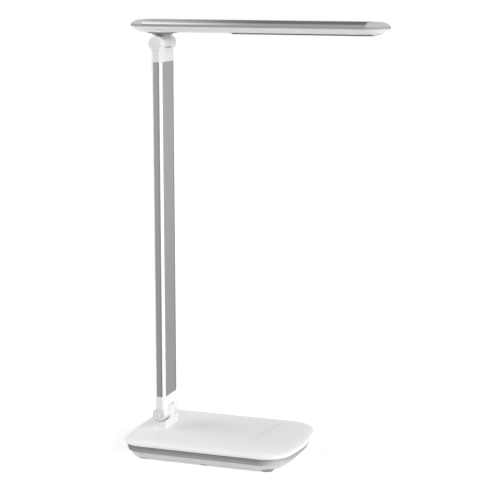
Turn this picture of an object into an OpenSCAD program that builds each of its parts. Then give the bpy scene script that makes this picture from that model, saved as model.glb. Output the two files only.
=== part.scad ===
// Folding LED desk lamp: weighted base, flat folding arm and slim swivelling head.
// +Z is up, +X is the way the head points, and the origin is the middle of the
// base on the table. All sizes are in millimetres.

/* [Stance] */
// Height of the lower hinge axis above the table
lower_axis_z = 33; // [32:0.5:40]
// Distance between the two hinge axes
axis_spacing = 350; // [240:5:420]
// Distance of the hinge axes from the rear end of the base
hinge_inset = 26.8; // [24:0.2:32]

/* [Base] */
// Length of the base along X
base_len = 168.6; // [160:0.2:190]
// Width of the base along Y
base_wid = 112.6; // [108:0.2:130]
// Radius of the two rear corners of the base
rear_corner_r = 19; // [16:0.2:26]
// Radius of the two front corners of the base
front_corner_r = 25.6; // [18:0.2:30]
// Radius of the bow of the rear end
rear_bow_r = 860; // [250:10:1200]
// Radius of the bow of the front end
front_bow_r = 165; // [120:5:400]
// Wall of the bottom shell
shell_wall = 2; // [1.6:0.1:2.4]
// Height of the tapered part of the bottom shell
shell_h = 5.6; // [5.2:0.1:6.4]
// How far the lower edge of the shell sits back from the widest outline at the ends
shell_end_inset = 8.6; // [6:0.2:11]
// How far the lower edge of the shell sits back from the widest outline at the sides
shell_side_inset = 2; // [1.6:0.1:2.8]
// Height of the silver trim band
band_h = 5.5; // [5.4:0.1:8]
// Thickness of the silver trim band
band_t = 1.2; // [0.8:0.1:1.6]
// How far the band sits back from the widest outline at the ends
band_end_inset = 2.2; // [1.6:0.1:3]
// How far the band sits back from the widest outline at the sides
band_side_inset = 0.9; // [0.6:0.1:1.6]
// How much further the lower edge of the band sits back at the ends
band_draft = 1.8; // [0.5:0.1:2.4]
// Height of the rolled-under lip of the top cover
lip_h = 2.1; // [1.5:0.1:3]
// How far the lip rolls under at the ends
lip_end_inset = 1.5; // [0.8:0.1:1.6]
// How far the lip rolls under at the sides
lip_side_inset = 0.6; // [0.3:0.1:1]
// Height of the dome of the top cover above its widest outline
dome_h = 4.6; // [4:0.1:7]
// Width of the rounded margin of the dome
dome_margin = 26; // [20:1:30]
// Thickness of the top of the cover
cover_top_t = 2.2; // [1.8:0.1:2.6]
// Thickness of the side wall of the cover
cover_side_t = 3.2; // [2.8:0.1:3.6]
// Thickness of the end wall of the cover
cover_end_t = 4.4; // [4.2:0.1:4.8]
// Depth of the touch area on the top of the cover
touch_depth = 0.4; // [0.2:0.1:0.8]
// Length of the touch area, back from the front end of the base
touch_len = 40.3; // [34:0.1:44]
// Distance of the touch area from the sides of the base
touch_side_inset = 20.3; // [14:0.1:24]

/* [Feet and base screws] */
// Radius of a rubber foot
foot_r = 6; // [5:0.25:7]
// Height of a foot below the shell
foot_h = 1.2; // [1:0.1:2.4]
// Depth of the pocket that holds a foot
foot_pocket = 0.5; // [0.3:0.1:0.6]
// Distance of the end feet from the ends of the base
foot_end_inset = 24.3; // [22.3:0.5:32.3]
// Distance of the feet from the sides of the base
foot_side_inset = 10.3; // [9.3:0.1:11.3]
// Shank radius of the base screws
base_screw_r = 1.5; // [1.25:0.05:1.75]
// Head radius of the base screws
base_head_r = 2.9; // [2.4:0.1:3.2]
// Head height of the base screws
base_head_h = 2.2; // [1.6:0.1:2.2]

/* [Base weight] */
// Distance of the steel weight from the rear end of the base
weight_rear_inset = 42.3; // [40.3:1:52.3]
// Distance of the steel weight from the front end of the base
weight_front_inset = 30.3; // [28.3:1:40.3]
// Distance of the steel weight from the sides of the base
weight_side_inset = 18.3; // [17.3:0.5:26.3]
// Thickness of the steel weight
weight_t = 5.5; // [3:0.5:6]
// Distance of the weight screws from the ends of the weight
weight_screw_end = 18; // [16:1:24]
// Distance of the weight screws from the sides of the weight
weight_screw_side = 8; // [7:1:16]
// Radius of the posts that pass through the weight
weight_post_r = 2.5; // [2.2:0.1:3]
// Head radius of the weight screws
weight_head_r = 4; // [3.6:0.1:4.4]
// Head height of the weight screws
weight_head_h = 1.6; // [1.2:0.1:1.8]

/* [Control board and inlet] */
// Length of the control board along X
board_len = 30; // [28:1:34]
// Width of the control board along Y
board_wid = 64; // [62:1:72]
// Thickness of the control board
board_t = 1.6; // [1:0.2:2]
// Distance of the middle of the board from the front end of the base
board_inset = 30.3; // [28.3:0.5:34.3]
// Height of the touch electrodes
electrode_h = 2; // [1.6:0.1:2.4]
// Radius of a touch electrode
electrode_r = 4; // [3:0.25:5]
// Distance between touch electrodes
electrode_pitch = 12; // [11:0.5:12.5]
// Number of touch electrodes
electrode_count = 5; // [3:1:5]
// Shank radius of the board screws
board_screw_r = 1.2; // [1:0.1:1.4]
// Radius of the inlet hole in the rear wall
inlet_hole_r = 2.4; // [2.2:0.1:2.6]
// Width and height of the inlet body
inlet_size = 7; // [6:0.2:7.4]
// Length of the inlet body
inlet_len = 9; // [8:0.5:9]
// Radius of the bore of the inlet
inlet_bore_r = 1.85; // [1.6:0.05:2]
// Radius of the pin of the inlet
inlet_pin_r = 0.6; // [0.5:0.05:0.7]

/* [Hinge bracket] */
// Length of the bracket along X
bracket_len = 13; // [12:0.2:13.2]
// Width of the bracket along Y
bracket_wid = 31; // [28:0.5:32]
// Radius of the upright edges of the bracket
bracket_edge_r = 2; // [1:0.25:3]
// Height of the shoulders of the bracket below the hinge axis
shoulder_drop = 6; // [5.8:0.1:6.6]
// Depth of the pocket in the cover that seats the bracket
bracket_pocket = 0.6; // [0.4:0.1:0.8]
// Thickness of the steel backing plate
backing_t = 2; // [1.5:0.1:2.4]
// Distance between the bracket screws
bracket_screw_dy = 21; // [18:0.5:23]
// Shank radius of the bracket screws
bracket_screw_r = 1.9; // [1.5:0.1:2]
// Head radius of the bracket screws
bracket_head_r = 3.5; // [3:0.1:3.8]
// Head height of the bracket screws
bracket_head_h = 2.6; // [2:0.1:2.8]

/* [Hinges] */
// Radius of the ears and tongues of both hinges
ear_r = 6.4; // [6.2:0.1:6.5]
// Length of both hinges over the ears, without the caps
ear_span = 34; // [33:0.5:36]
// Width of the tongue between the ears
tongue_wid = 12; // [10:0.5:13]
// Gap between a tongue and each ear
tongue_gap = 0.6; // [0.5:0.05:0.8]
// Gap between the tongue and the floor of the slot
slot_gap = 0.5; // [0.45:0.05:0.7]
// Gap between the ears and the saddle of the bracket
saddle_gap = 1.4; // [1:0.1:1.6]
// Shank radius of the hinge bolts
bolt_r = 2.5; // [2:0.1:2.6]
// Head radius of the hinge bolts, and of the spring and nut seats
bolt_head_r = 4.5; // [4:0.1:4.6]
// Head height of the hinge bolts
bolt_head_h = 3.2; // [2.4:0.1:3.4]
// Thickness of the disc springs
spring_t = 0.8; // [0.5:0.1:1]
// Thickness of the hinge nuts
nut_t = 2.6; // [2:0.1:2.8]
// Thickness of the pivot caps
cap_t = 2; // [1.4:0.1:3]
// Depth of the dish in the face of a pivot cap
cap_dish = 0.4; // [0.2:0.1:0.6]
// Width of the rim round that dish
cap_rim = 1.8; // [1.2:0.1:2.4]

/* [Arm] */
// Thickness of the arm along X
arm_t = 10.8; // [10.6:0.1:12]
// Width of the arm along Y
arm_w = 32; // [31:0.5:33]
// Size of the chamfer along the corners of the arm
arm_chamfer = 2.4; // [1.5:0.1:2.6]
// Wall of the arm tube
arm_wall = 2; // [1.8:0.1:2.2]
// Thickness of the silver trims
trim_t = 0.5; // [0.3:0.05:0.6]
// Distance from a hinge axis to the end of the tube
joint_len = 17; // [15:0.5:20]
// Length of the spigots of the end pieces inside the tube
spigot_len = 18; // [14:1:24]
// Distance between the two screws of an end piece
end_screw_dy = 18; // [14:0.5:20]
// Shank radius of the end screws
end_screw_r = 1.4; // [1.1:0.1:1.6]
// Head radius of the end screws
end_head_r = 2.6; // [2.1:0.1:3]
// Radius of the lead inside the arm
lead_r = 1.8; // [1.2:0.1:1.9]

/* [Neck and swivel] */
// Height of the underside of the head above the upper hinge axis
head_drop = 9.9; // [9.7:0.1:13]
// Radius of the flare where it leaves the hinge
flare_low_r = 8.7; // [7.5:0.1:9.5]
// Radius of the flare under the head
flare_top_r = 13.8; // [12:0.1:14]
// Thickness of the rim of the flare
flare_rim_t = 0.4; // [0.3:0.1:0.8]
// Thickness of the slip washer between neck and head
slip_t = 0.5; // [0.4:0.05:0.8]
// Outer radius of the hollow swivel tube
swivel_r = 4; // [3.6:0.1:4.2]
// Radius of the bore of the swivel tube
swivel_bore_r = 2.5; // [2:0.1:2.7]
// Thickness of the wave washer
wave_t = 1; // [0.6:0.1:1.2]
// Thickness of the swivel nut
swivel_nut_t = 2.6; // [2:0.1:2.8]
// Size of the swivel nut across its flats
swivel_nut_af = 12; // [11:0.5:14]

/* [Head] */
// Length of the head in front of the neck, to its tip
head_front = 214.5; // [190:0.5:240]
// Length of the head behind the neck, to its tip
head_rear = 29.5; // [29:0.5:45]
// Width of the head, and of its round ends
head_w = 40; // [38:0.5:44]
// Height of the lower half of the head
lower_h = 5.4; // [5.2:0.1:7]
// Half width of the flat underside of the head
flat_half = 9; // [7:0.5:10]
// Height of the upright edge of the upper half
edge_h = 2; // [1.4:0.1:3]
// Rise of the crown above the upright edge
crown_h = 3.9; // [3.5:0.1:6]
// Fullness of the crown: the power with which it falls towards its edge
crown_power = 5.5; // [4:0.5:6]
// Thickness of the floor of the lower half
floor_t = 2; // [1.8:0.1:2.2]
// Side wall of the lower half
housing_wall = 1.6; // [1.4:0.1:2]
// Wall of the upper half
top_wall = 1.4; // [1:0.1:1.6]
// Distance that the aluminium profile reaches into the round ends
profile_reach = 2.5; // [1:0.5:3.5]
// Length of the cap spigots inside the aluminium profile
cap_spigot = 8.5; // [6:0.5:10]
// Shank radius of the head screws
head_screw_r = 1.2; // [1:0.1:1.3]
// Head radius of the head screws
head_screw_head_r = 2.3; // [1.9:0.1:2.4]

/* [Light panel] */
// Length of the bezel
panel_len = 130; // [100:1:134]
// Width of the bezel
panel_wid = 23.4; // [21:0.2:24]
// Distance from the tip of the head to the bezel
panel_tip_gap = 13.5; // [12.5:0.5:20]
// How far the bezel stands below the head
bezel_t = 0.7; // [0.5:0.1:1.2]
// Width of the lip of the bezel outside the opening
bezel_lip = 1; // [0.8:0.1:1.2]
// Wall of the bezel inside the opening
bezel_wall = 1.2; // [0.8:0.1:1.4]
// Width of the ledge that carries the diffuser
bezel_ledge = 1; // [0.8:0.1:1.6]
// Thickness of the diffuser
diffuser_t = 1.5; // [1:0.1:1.8]
// Wall of the reflector
reflector_t = 0.8; // [0.6:0.1:1]
// Thickness of the LED board
led_board_t = 1.2; // [0.8:0.1:1.4]
// Number of LEDs along the board
led_columns = 12; // [6:1:14]
// Distance of the last LEDs from the ends of the bezel
led_end_gap = 13; // [10:0.5:16]
// Distance between the two rows of LEDs
led_row_dy = 7; // [5:0.5:7]
// Length of an LED along X
led_len = 3.5; // [2:0.1:4]
// Width of an LED along Y
led_wid = 2.8; // [2:0.1:2.8]
// Height of an LED
led_h = 0.8; // [0.6:0.1:1]

/* [Fits] */
// Radial clearance of running fits and of screws in their holes
run_gap = 0.05; // [0.03:0.01:0.08]
// Clearance of parts that slide into each other when assembled
slide_gap = 0.1; // [0.06:0.02:0.16]
// Clearance of screw shanks in through holes
through_gap = 0.2; // [0.15:0.05:0.3]

/* [Hidden] */
$fn = 64;

// A hair that lets a cut run past the face it opens
eps = 0.01;
over = 1;
arc_steps = 10;

// Heights of the base, from the table up
shell_z = foot_h;
floor_z = shell_z + shell_wall;
ledge_z = shell_z + shell_h;
band_gap = 0.2;
lip_z = ledge_z + band_h + band_gap;
widest_z = lip_z + lip_h;
crown_z = widest_z + dome_h;
ceiling_z = crown_z - cover_top_t;
half_len = base_len / 2;
half_wid = base_wid / 2;
min_corner_r = 8;
touch_wid = base_wid - 2 * touch_side_inset;

// Insets of the wall of the shell that stands inside the trim band
ring_end = band_end_inset + band_t;
ring_side = band_side_inset + band_t;
well_end = ring_end + shell_wall;
well_side = ring_side + shell_wall;
bottom_round = 1.4;
bottom_round_h = 0.8;

// Hinge places
hinge_x = hinge_inset - half_len;
upper_axis_z = lower_axis_z + axis_spacing;
slot_half = tongue_wid / 2 + tongue_gap;
ear_half = ear_span / 2;
slot_reach = ear_r + slot_gap;
cap_plug_h = 0.9;
head_seat_y = -ear_half + cap_plug_h + bolt_head_h;
nut_seat_y = ear_half - cap_plug_h - nut_t - spring_t;
washer_t = tongue_gap - 2 * run_gap;

// Bracket seat
bracket_z = crown_z - bracket_pocket;
saddle_r = ear_r + saddle_gap;
pad_z = bracket_z - 3.4;
pad_len = 20;
pad_wid = 42;
backing_z = pad_z - backing_t;
bracket_bore_top = lower_axis_z - saddle_r - 1.2;

// Base screws and their bosses
screw_boss_r = base_head_r + 2;
head_floor_z = shell_z + foot_pocket + base_head_h + slide_gap;
screw_seat_z = head_floor_z + 1.6;
cover_boss_r = base_screw_r + 2;
cover_boss_top = ceiling_z - 0.3;
foot_x = half_len - foot_end_inset;
foot_y = half_wid - foot_side_inset;
foot_places = [for (x = [-foot_x, 0, foot_x], y = [-foot_y, foot_y]) [x, y]];

// Weight
weight_len = base_len - weight_rear_inset - weight_front_inset;
weight_wid = base_wid - 2 * weight_side_inset;
weight_x = (weight_rear_inset - weight_front_inset) / 2;
weight_z = floor_z;
weight_top = weight_z + weight_t;
weight_screw_places = [for (x = [-1, 1], y = [-1, 1])
    [weight_x + x * (weight_len / 2 - weight_screw_end), y * (weight_wid / 2 - weight_screw_side)]];

// Control board, hung from the cover
board_x = half_len - board_inset;
board_z = ceiling_z - slide_gap - electrode_h - board_t;
board_edge = 4;
board_screw_places = [for (x = [-1, 1], y = [-1, 1])
    [board_x + x * (board_len / 2 - board_edge), y * (board_wid / 2 - board_edge)]];
board_head_r = board_screw_r * 2;
board_head_h = 1.4;
board_boss_r = board_screw_r + 1.3;

// Inlet, in the rear wall at the height of the band
inlet_z = ledge_z + band_h / 2;
inlet_x = -half_len + well_end + band_draft + slide_gap;
inlet_shelf_top = inlet_z - inlet_size / 2;
inlet_lid_z = inlet_z + inlet_size / 2 + slide_gap;
inlet_depth = 0.8 * inlet_len;

// Arm
tube_low = lower_axis_z + joint_len;
tube_high = upper_axis_z - joint_len;
tube_len = tube_high - tube_low;
broad_half = arm_w / 2 - arm_chamfer;
edge_half = arm_t / 2 - arm_chamfer;
bore_t = arm_t - 2 * arm_wall;
bore_w = arm_w - 2 * arm_wall;
screw_up = spigot_len / 2;
channel_r = lead_r + 0.3;
end_head_h = 0.7;
end_bore_depth = bore_t - 1.2;

// Swivel, measured from the upper hinge axis
underside = head_drop;
neck_top = underside - slip_t;
flare_z = ear_r + 0.4;
tube_start = bolt_r + run_gap + 0.7;
swivel_floor = underside + floor_t;
nut_z = swivel_floor + wave_t;
swivel_top = nut_z + swivel_nut_t + 1;
stem_half = tongue_wid / 2;
pad_r = flare_top_r + 0.7;

// Head, with its seam between the two halves
head_r = head_w / 2;
seam_z = upper_axis_z + underside + lower_h;
rear_x = hinge_x - head_rear + head_r;
front_x = hinge_x + head_front - head_r;
inner_r = head_r - housing_wall;
inner_top_r = head_r - top_wall;
curve_steps = 10;
screw_pad_r = head_screw_head_r + 0.9;
screw_pad_z = -lower_h + floor_t + 2.2;
screw_seat = screw_pad_z - 1.2;
cap_screw_dy = 16;
rear_screw_x = rear_x - 7;
front_screw_x = hinge_x + head_front - 9;
cap_screw_places = [for (x = [rear_screw_x, front_screw_x], y = [-1, 1])
    [x, y * cap_screw_dy / 2]];

// Light panel, measured from the seam
panel_x1 = hinge_x + head_front - panel_tip_gap;
panel_x0 = panel_x1 - panel_len;
panel_mid = (panel_x0 + panel_x1) / 2;
opening_len = panel_len - 2 * bezel_lip;
opening_wid = panel_wid - 2 * bezel_lip;
sleeve_len = opening_len - 2 * slide_gap;
sleeve_wid = opening_wid - 2 * slide_gap;
tray_len = sleeve_len - 2 * bezel_wall - 2 * slide_gap;
tray_wid = sleeve_wid - 2 * bezel_wall - 2 * slide_gap;
bezel_top = -lower_h + 3.2;
tray_z = -lower_h + diffuser_t;
led_board_z = 0.4;
led_board_top = led_board_z + led_board_t;
rib_y = 6.6;
rib_t = 3;
rib_z = led_board_top + run_gap;
led_screw_r = 0.9;
led_screw_head_r = 1.5;
led_screw_head_h = 0.9;
spigot_back = cap_spigot - profile_reach;
led_screw_x = [panel_x0 + 8, front_x - spigot_back - 8];
led_span = panel_len - 2 * led_end_gap;

white = "whitesmoke";
silver = "silver";
steel = "lightslategray";

// ---- helpers ----

// Points along an arc
function arc(x, y, r, from, to, steps = arc_steps) =
    [for (i = [0:steps]) let (a = from + (to - from) * i / steps) [x + r * cos(a), y + r * sin(a)]];

// Outline of the base, drawn in by ix at the ends and iy at the sides
function base_outline(ix, iy) =
    let (
        hl = half_len - ix,
        hw = half_wid - iy,
        rf = max(front_corner_r - iy, min_corner_r),
        rr = max(rear_corner_r - iy, min_corner_r),
        bf = front_bow_r - ix,
        br = rear_bow_r - ix,
        cf = hl - bf + sqrt(pow(bf - rf, 2) - pow(hw - rf, 2)),
        cr = hl - br + sqrt(pow(br - rr, 2) - pow(hw - rr, 2)),
        af = atan2(hw - rf, cf - hl + bf),
        ar = atan2(hw - rr, cr - hl + br)
    )
    concat(
        arc(hl - bf, 0, bf, -af, af),
        arc(cf, hw - rf, rf, af, 90),
        arc(-cr, hw - rr, rr, 90, 180 - ar),
        arc(br - hl, 0, br, 180 - ar, 180 + ar),
        arc(-cr, rr - hw, rr, 180 + ar, 270),
        arc(cf, rf - hw, rf, 270, 360 - af)
    );

// A thin slice of the base at height z
module slice(z, ix, iy) {
    translate([0, 0, z]) linear_extrude(eps) polygon(base_outline(ix, iy));
}

// A plate with the outline of the base, whose ends are drawn in further towards its underside
module plate(z0, z1, ix, iy, draft) {
    hull() {
        slice(z0, ix + draft, iy);
        slice(z1 - eps, ix, iy);
    }
}

// Height of the dome above the widest outline, at a given distance inside it
function dome_rise(inset) = dome_h * pow(1 - pow(1 - inset / dome_margin, 3), 0.44);

// The domed solid of the cover, drawn in at the ends and sides and lowered by drop
module dome(end, side, drop) {
    lip_steps = 2;
    dome_steps = 9;
    hull() {
        for (i = [0:lip_steps]) {
            s = i / lip_steps;
            roll = pow(1 - s, 2);
            slice(lip_z + lip_h * s - drop, end + lip_end_inset * roll, side + lip_side_inset * roll);
        }
        for (i = [1:dome_steps]) {
            inset = dome_margin * pow(i / dome_steps, 2);
            slice(widest_z + dome_rise(inset) - drop - eps, end + inset, side + inset);
        }
    }
}

// A box centred on x and y, standing on z0
module block(x, y, lx, ly, z0, z1) {
    translate([x - lx / 2, y - ly / 2, z0]) cube([lx, ly, z1 - z0]);
}

// A rectangle with round corners
module round_rect(lx, ly, r) {
    square([lx - 2 * r, ly], center = true);
    square([lx, ly - 2 * r], center = true);
    for (x = [-1, 1], y = [-1, 1]) {
        translate([x * (lx / 2 - r), y * (ly / 2 - r)]) circle(r);
    }
}

// An upright rod at x, y
module post(x, y, r, z0, z1) {
    translate([x, y, z0]) cylinder(r = r, h = z1 - z0);
}

// A rod along Y about the origin
module y_rod(r, y0, y1) {
    translate([0, y1, 0]) rotate([90, 0, 0]) cylinder(r = r, h = y1 - y0);
}

// A ring along Y about the origin
module y_ring(r_out, r_in, y0, y1) {
    difference() {
        y_rod(r_out, y0, y1);
        y_rod(r_in, y0 - over, y1 + over);
    }
}

// A rod along X at y, z
module x_rod(r, x0, x1, y, z) {
    translate([x0, y, z]) rotate([0, 90, 0]) cylinder(r = r, h = x1 - x0);
}

module at_lower_axis() {
    translate([hinge_x, 0, lower_axis_z]) children();
}

module at_upper_axis() {
    translate([hinge_x, 0, upper_axis_z]) children();
}

// The end pieces and their hardware are alike: the upper ones hang upside down
module at_each_end() {
    at_lower_axis() children();
    at_upper_axis() mirror([0, 0, 1]) children();
}

// ---- base ----

module base_top_cover() {
    color(white) difference() {
        union() {
            difference() {
                dome(0, 0, 0);
                dome(cover_end_t, cover_side_t, cover_top_t);
            }
            block(hinge_x, 0, pad_len, pad_wid, pad_z, ceiling_z + eps);
            block(inlet_x + inlet_len / 2, 0, inlet_len / 2, inlet_size / 2,
                inlet_lid_z, ceiling_z + eps);
            for (p = foot_places) post(p[0], p[1], cover_boss_r, screw_seat_z, cover_boss_top);
            for (p = board_screw_places) {
                post(p[0], p[1], board_boss_r, board_z + board_t, ceiling_z + eps);
            }
        }
        touch_area();
        translate([hinge_x, 0, bracket_z]) linear_extrude(over + bracket_pocket)
            round_rect(bracket_len + 2 * slide_gap, bracket_wid + 2 * slide_gap, bracket_edge_r);
        for (y = [-1, 1]) {
            post(hinge_x, y * bracket_screw_dy / 2, bracket_screw_r + through_gap,
                pad_z - over, bracket_z + over);
        }
        for (p = foot_places) {
            post(p[0], p[1], base_screw_r + run_gap, screw_seat_z - over, cover_boss_top - 1.5);
        }
        for (p = board_screw_places) {
            post(p[0], p[1], board_screw_r + run_gap, board_z, ceiling_z - 0.4);
        }
    }
}

// The shallow level area for the touch controls, open to the front
module touch_area() {
    touch_corner_r = 12;
    translate([half_len, 0, crown_z - touch_depth])
        linear_extrude(over) round_rect(2 * touch_len, touch_wid, touch_corner_r);
}

module base_trim_band() {
    color(silver) difference() {
        plate(ledge_z, ledge_z + band_h, band_end_inset, band_side_inset, band_draft);
        plate(ledge_z, lip_z, ring_end - run_gap, ring_side - run_gap, band_draft);
        plate(ledge_z - over, ledge_z + 2 * eps, ring_end + band_draft - run_gap,
            ring_side - run_gap, 0);
        inlet_hole();
    }
}

module inlet_hole() {
    x_rod(inlet_hole_r, -half_len - over, inlet_x + over, 0, inlet_z);
}

module base_bottom_shell() {
    well_round_z = ledge_z - 1;
    color(white) difference() {
        union() {
            difference() {
                union() {
                    hull() {
                        slice(shell_z, shell_end_inset + bottom_round, shell_side_inset + bottom_round);
                        slice(shell_z + bottom_round_h, shell_end_inset, shell_side_inset);
                        slice(ledge_z - eps, band_end_inset + band_draft + run_gap,
                            band_side_inset + run_gap);
                    }
                    plate(ledge_z - eps, lip_z, ring_end, ring_side, band_draft);
                }
                hull() {
                    slice(floor_z, shell_end_inset + shell_wall + 1, shell_side_inset + shell_wall + 1);
                    slice(well_round_z, well_end + band_draft, well_side);
                }
                plate(well_round_z - eps, lip_z + over, well_end, well_side, band_draft);
            }
            for (p = foot_places) post(p[0], p[1], screw_boss_r, shell_z + eps, screw_seat_z);
            for (p = weight_screw_places) {
                post(p[0], p[1], weight_post_r, shell_z + eps, weight_top - slide_gap);
            }
            block(inlet_x + inlet_len / 2 + 2, 0, inlet_len - 4, inlet_size,
                shell_z + 1, inlet_shelf_top);
        }
        inlet_hole();
        for (p = foot_places) {
            post(p[0], p[1], foot_r + slide_gap, shell_z - over, shell_z + foot_pocket);
            post(p[0], p[1], base_head_r + slide_gap, shell_z - over, head_floor_z);
            post(p[0], p[1], base_screw_r + through_gap, shell_z, screw_seat_z + over);
        }
        for (p = weight_screw_places) {
            post(p[0], p[1], base_screw_r + run_gap, floor_z - 0.6, weight_top + over);
        }
    }
}

module rubber_feet() {
    color("dimgray") for (p = foot_places) {
        post(p[0], p[1], foot_r, 0, shell_z + foot_pocket);
    }
}

module base_screws() {
    color(steel) for (p = foot_places) {
        post(p[0], p[1], base_head_r, head_floor_z - base_head_h, head_floor_z);
        post(p[0], p[1], base_screw_r, head_floor_z - eps, cover_boss_top - 2.5);
    }
}

module base_weight() {
    color(steel) difference() {
        translate([weight_x, 0, weight_z]) linear_extrude(weight_t)
            round_rect(weight_len, weight_wid, 4);
        for (p = weight_screw_places) {
            post(p[0], p[1], weight_post_r + through_gap, weight_z - over, weight_top + over);
        }
    }
}

module weight_screws() {
    color(steel) for (p = weight_screw_places) {
        post(p[0], p[1], weight_head_r, weight_top, weight_top + weight_head_h);
        post(p[0], p[1], base_screw_r, floor_z - 0.2, weight_top + eps);
    }
}

module control_board() {
    color("darkgreen") difference() {
        block(board_x, 0, board_len, board_wid, board_z, board_z + board_t);
        for (p = board_screw_places) {
            post(p[0], p[1], board_screw_r + through_gap, board_z - over, board_z + board_t + over);
        }
    }
}

module board_screws() {
    color(steel) for (p = board_screw_places) {
        post(p[0], p[1], board_head_r, board_z - board_head_h, board_z);
        post(p[0], p[1], board_screw_r, board_z - eps, ceiling_z - 0.6);
    }
}

module touch_electrodes() {
    color("gold") for (i = [0:electrode_count - 1]) {
        y = (i - (electrode_count - 1) / 2) * electrode_pitch;
        post(board_x, y, electrode_r, board_z + board_t, board_z + board_t + electrode_h);
    }
}

module power_inlet() {
    color("dimgray") {
        difference() {
            block(inlet_x + inlet_len / 2, 0, inlet_len, inlet_size,
                inlet_shelf_top, inlet_shelf_top + inlet_size);
            x_rod(inlet_bore_r, inlet_x - over, inlet_x + inlet_depth, 0, inlet_z);
        }
        x_rod(inlet_pin_r, inlet_x + 1, inlet_x + inlet_depth + eps, 0, inlet_z);
    }
}

module hinge_bracket() {
    shoulder_z = lower_axis_z - shoulder_drop;
    color(white) difference() {
        union() {
            difference() {
                translate([hinge_x, 0, bracket_z]) linear_extrude(shoulder_z - bracket_z)
                    round_rect(bracket_len, bracket_wid, bracket_edge_r);
                at_lower_axis() y_rod(saddle_r, -base_wid, base_wid);
            }
            block(hinge_x, 0, 2 * ear_r - 0.4, tongue_wid, bracket_z, lower_axis_z);
            at_lower_axis() y_rod(ear_r, -tongue_wid / 2, tongue_wid / 2);
        }
        at_lower_axis() y_rod(bolt_r + run_gap, -tongue_wid, tongue_wid);
        for (y = [-1, 1]) {
            post(hinge_x, y * bracket_screw_dy / 2, bracket_screw_r + run_gap,
                bracket_z - over, bracket_bore_top);
        }
    }
}

module backing_plate() {
    color(steel) difference() {
        block(hinge_x, 0, pad_len, pad_wid - 4, backing_z, pad_z);
        for (y = [-1, 1]) {
            post(hinge_x, y * bracket_screw_dy / 2, bracket_screw_r + through_gap,
                backing_z - over, pad_z + over);
        }
    }
}

module bracket_screws() {
    color(steel) for (y = [-1, 1]) {
        post(hinge_x, y * bracket_screw_dy / 2, bracket_head_r, backing_z - bracket_head_h, backing_z);
        post(hinge_x, y * bracket_screw_dy / 2, bracket_screw_r, backing_z - eps, bracket_bore_top - 0.3);
    }
}

// ---- hinges, each about its own axis ----

module hinge_bolt() {
    color(steel) {
        difference() {
            y_rod(bolt_head_r, head_seat_y - bolt_head_h, head_seat_y);
            y_rod(bolt_r * 0.6, head_seat_y - bolt_head_h - over, head_seat_y - bolt_head_h / 2);
        }
        y_rod(bolt_r, head_seat_y - eps, ear_half - cap_plug_h - slide_gap);
    }
}

module friction_washers() {
    color("goldenrod") for (side = [-1, 1]) {
        mid = side * (tongue_wid / 2 + tongue_gap / 2);
        y_ring(ear_r - 0.4, bolt_r + run_gap, mid - washer_t / 2, mid + washer_t / 2);
    }
}

module disc_spring() {
    color(steel) y_ring(bolt_head_r - 0.1, bolt_r + run_gap, nut_seat_y, nut_seat_y + spring_t);
}

module hinge_nut() {
    across_corners_r = bolt_head_r;
    color(steel) difference() {
        translate([0, nut_seat_y + spring_t + nut_t, 0]) rotate([90, 0, 0])
            cylinder(r = across_corners_r, h = nut_t, $fn = 6);
        y_rod(bolt_r + run_gap, 0, ear_span);
    }
}

module pivot_caps() {
    rim_round = 0.5;
    color(white) for (side = [0, 1]) {
        mirror([0, side, 0]) translate([0, -ear_half, 0]) rotate([90, 0, 0]) rotate_extrude()
            polygon([
                [0, slide_gap - cap_plug_h],
                [bolt_head_r - 0.1, slide_gap - cap_plug_h],
                [bolt_head_r - 0.1, 0],
                [ear_r, 0],
                [ear_r, cap_t - rim_round],
                [ear_r - rim_round, cap_t],
                [ear_r - cap_rim, cap_t],
                [ear_r - cap_rim - 0.4, cap_t - cap_dish],
                [0, cap_t - cap_dish]
            ]);
    }
}

// ---- arm ----

// Cross-section of the arm with its four chamfered corners
module arm_section() {
    ht = arm_t / 2;
    hw = arm_w / 2;
    polygon([
        [ht, broad_half], [edge_half, hw], [-edge_half, hw], [-ht, broad_half],
        [-ht, -broad_half], [-edge_half, -hw], [edge_half, -hw], [ht, -broad_half]
    ]);
}

// End piece with its axis at the origin and its spigot upwards
module arm_end() {
    spigot_t = bore_t - 2 * slide_gap;
    spigot_w = bore_w - 2 * slide_gap;
    difference() {
        union() {
            y_rod(ear_r, -ear_half, ear_half);
            linear_extrude(joint_len) arm_section();
            translate([0, 0, joint_len - eps]) linear_extrude(spigot_len)
                round_rect(spigot_t, spigot_w, 1);
        }
        block(0, 0, 4 * ear_r, 2 * slot_half, -ear_r - over, slot_reach);
        y_rod(bolt_r + run_gap, -ear_span, ear_span);
        y_rod(bolt_head_r + slide_gap, -ear_span, head_seat_y);
        y_rod(bolt_head_r + slide_gap, nut_seat_y, ear_span);
        post(0, 0, channel_r, 0, joint_len + spigot_len + over);
        for (y = [-1, 1]) {
            x_rod(end_screw_r + run_gap, -arm_t, -bore_t / 2 + end_bore_depth,
                y * end_screw_dy / 2, joint_len + screw_up);
        }
    }
}

module arm_lower_end() {
    color(white) at_lower_axis() arm_end();
}

module arm_upper_end() {
    color(white) at_upper_axis() mirror([0, 0, 1]) arm_end();
}

module arm_tube() {
    color(white) difference() {
        translate([hinge_x, 0, tube_low]) linear_extrude(tube_len) difference() {
            arm_section();
            round_rect(bore_t, bore_w, 1);
            for (side = [-1, 1]) {
                translate([side * arm_t / 2, 0]) square([2 * trim_t, 2 * broad_half], center = true);
                translate([0, side * arm_w / 2]) square([2 * edge_half, 2 * trim_t], center = true);
            }
        }
        at_each_end() for (y = [-1, 1]) {
            x_rod(end_screw_r + through_gap, -arm_t, 0, y * end_screw_dy / 2, joint_len + screw_up);
            x_rod(end_head_r + slide_gap, -arm_t, -arm_t / 2 + trim_t + end_head_h,
                y * end_screw_dy / 2, joint_len + screw_up);
        }
    }
}

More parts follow.
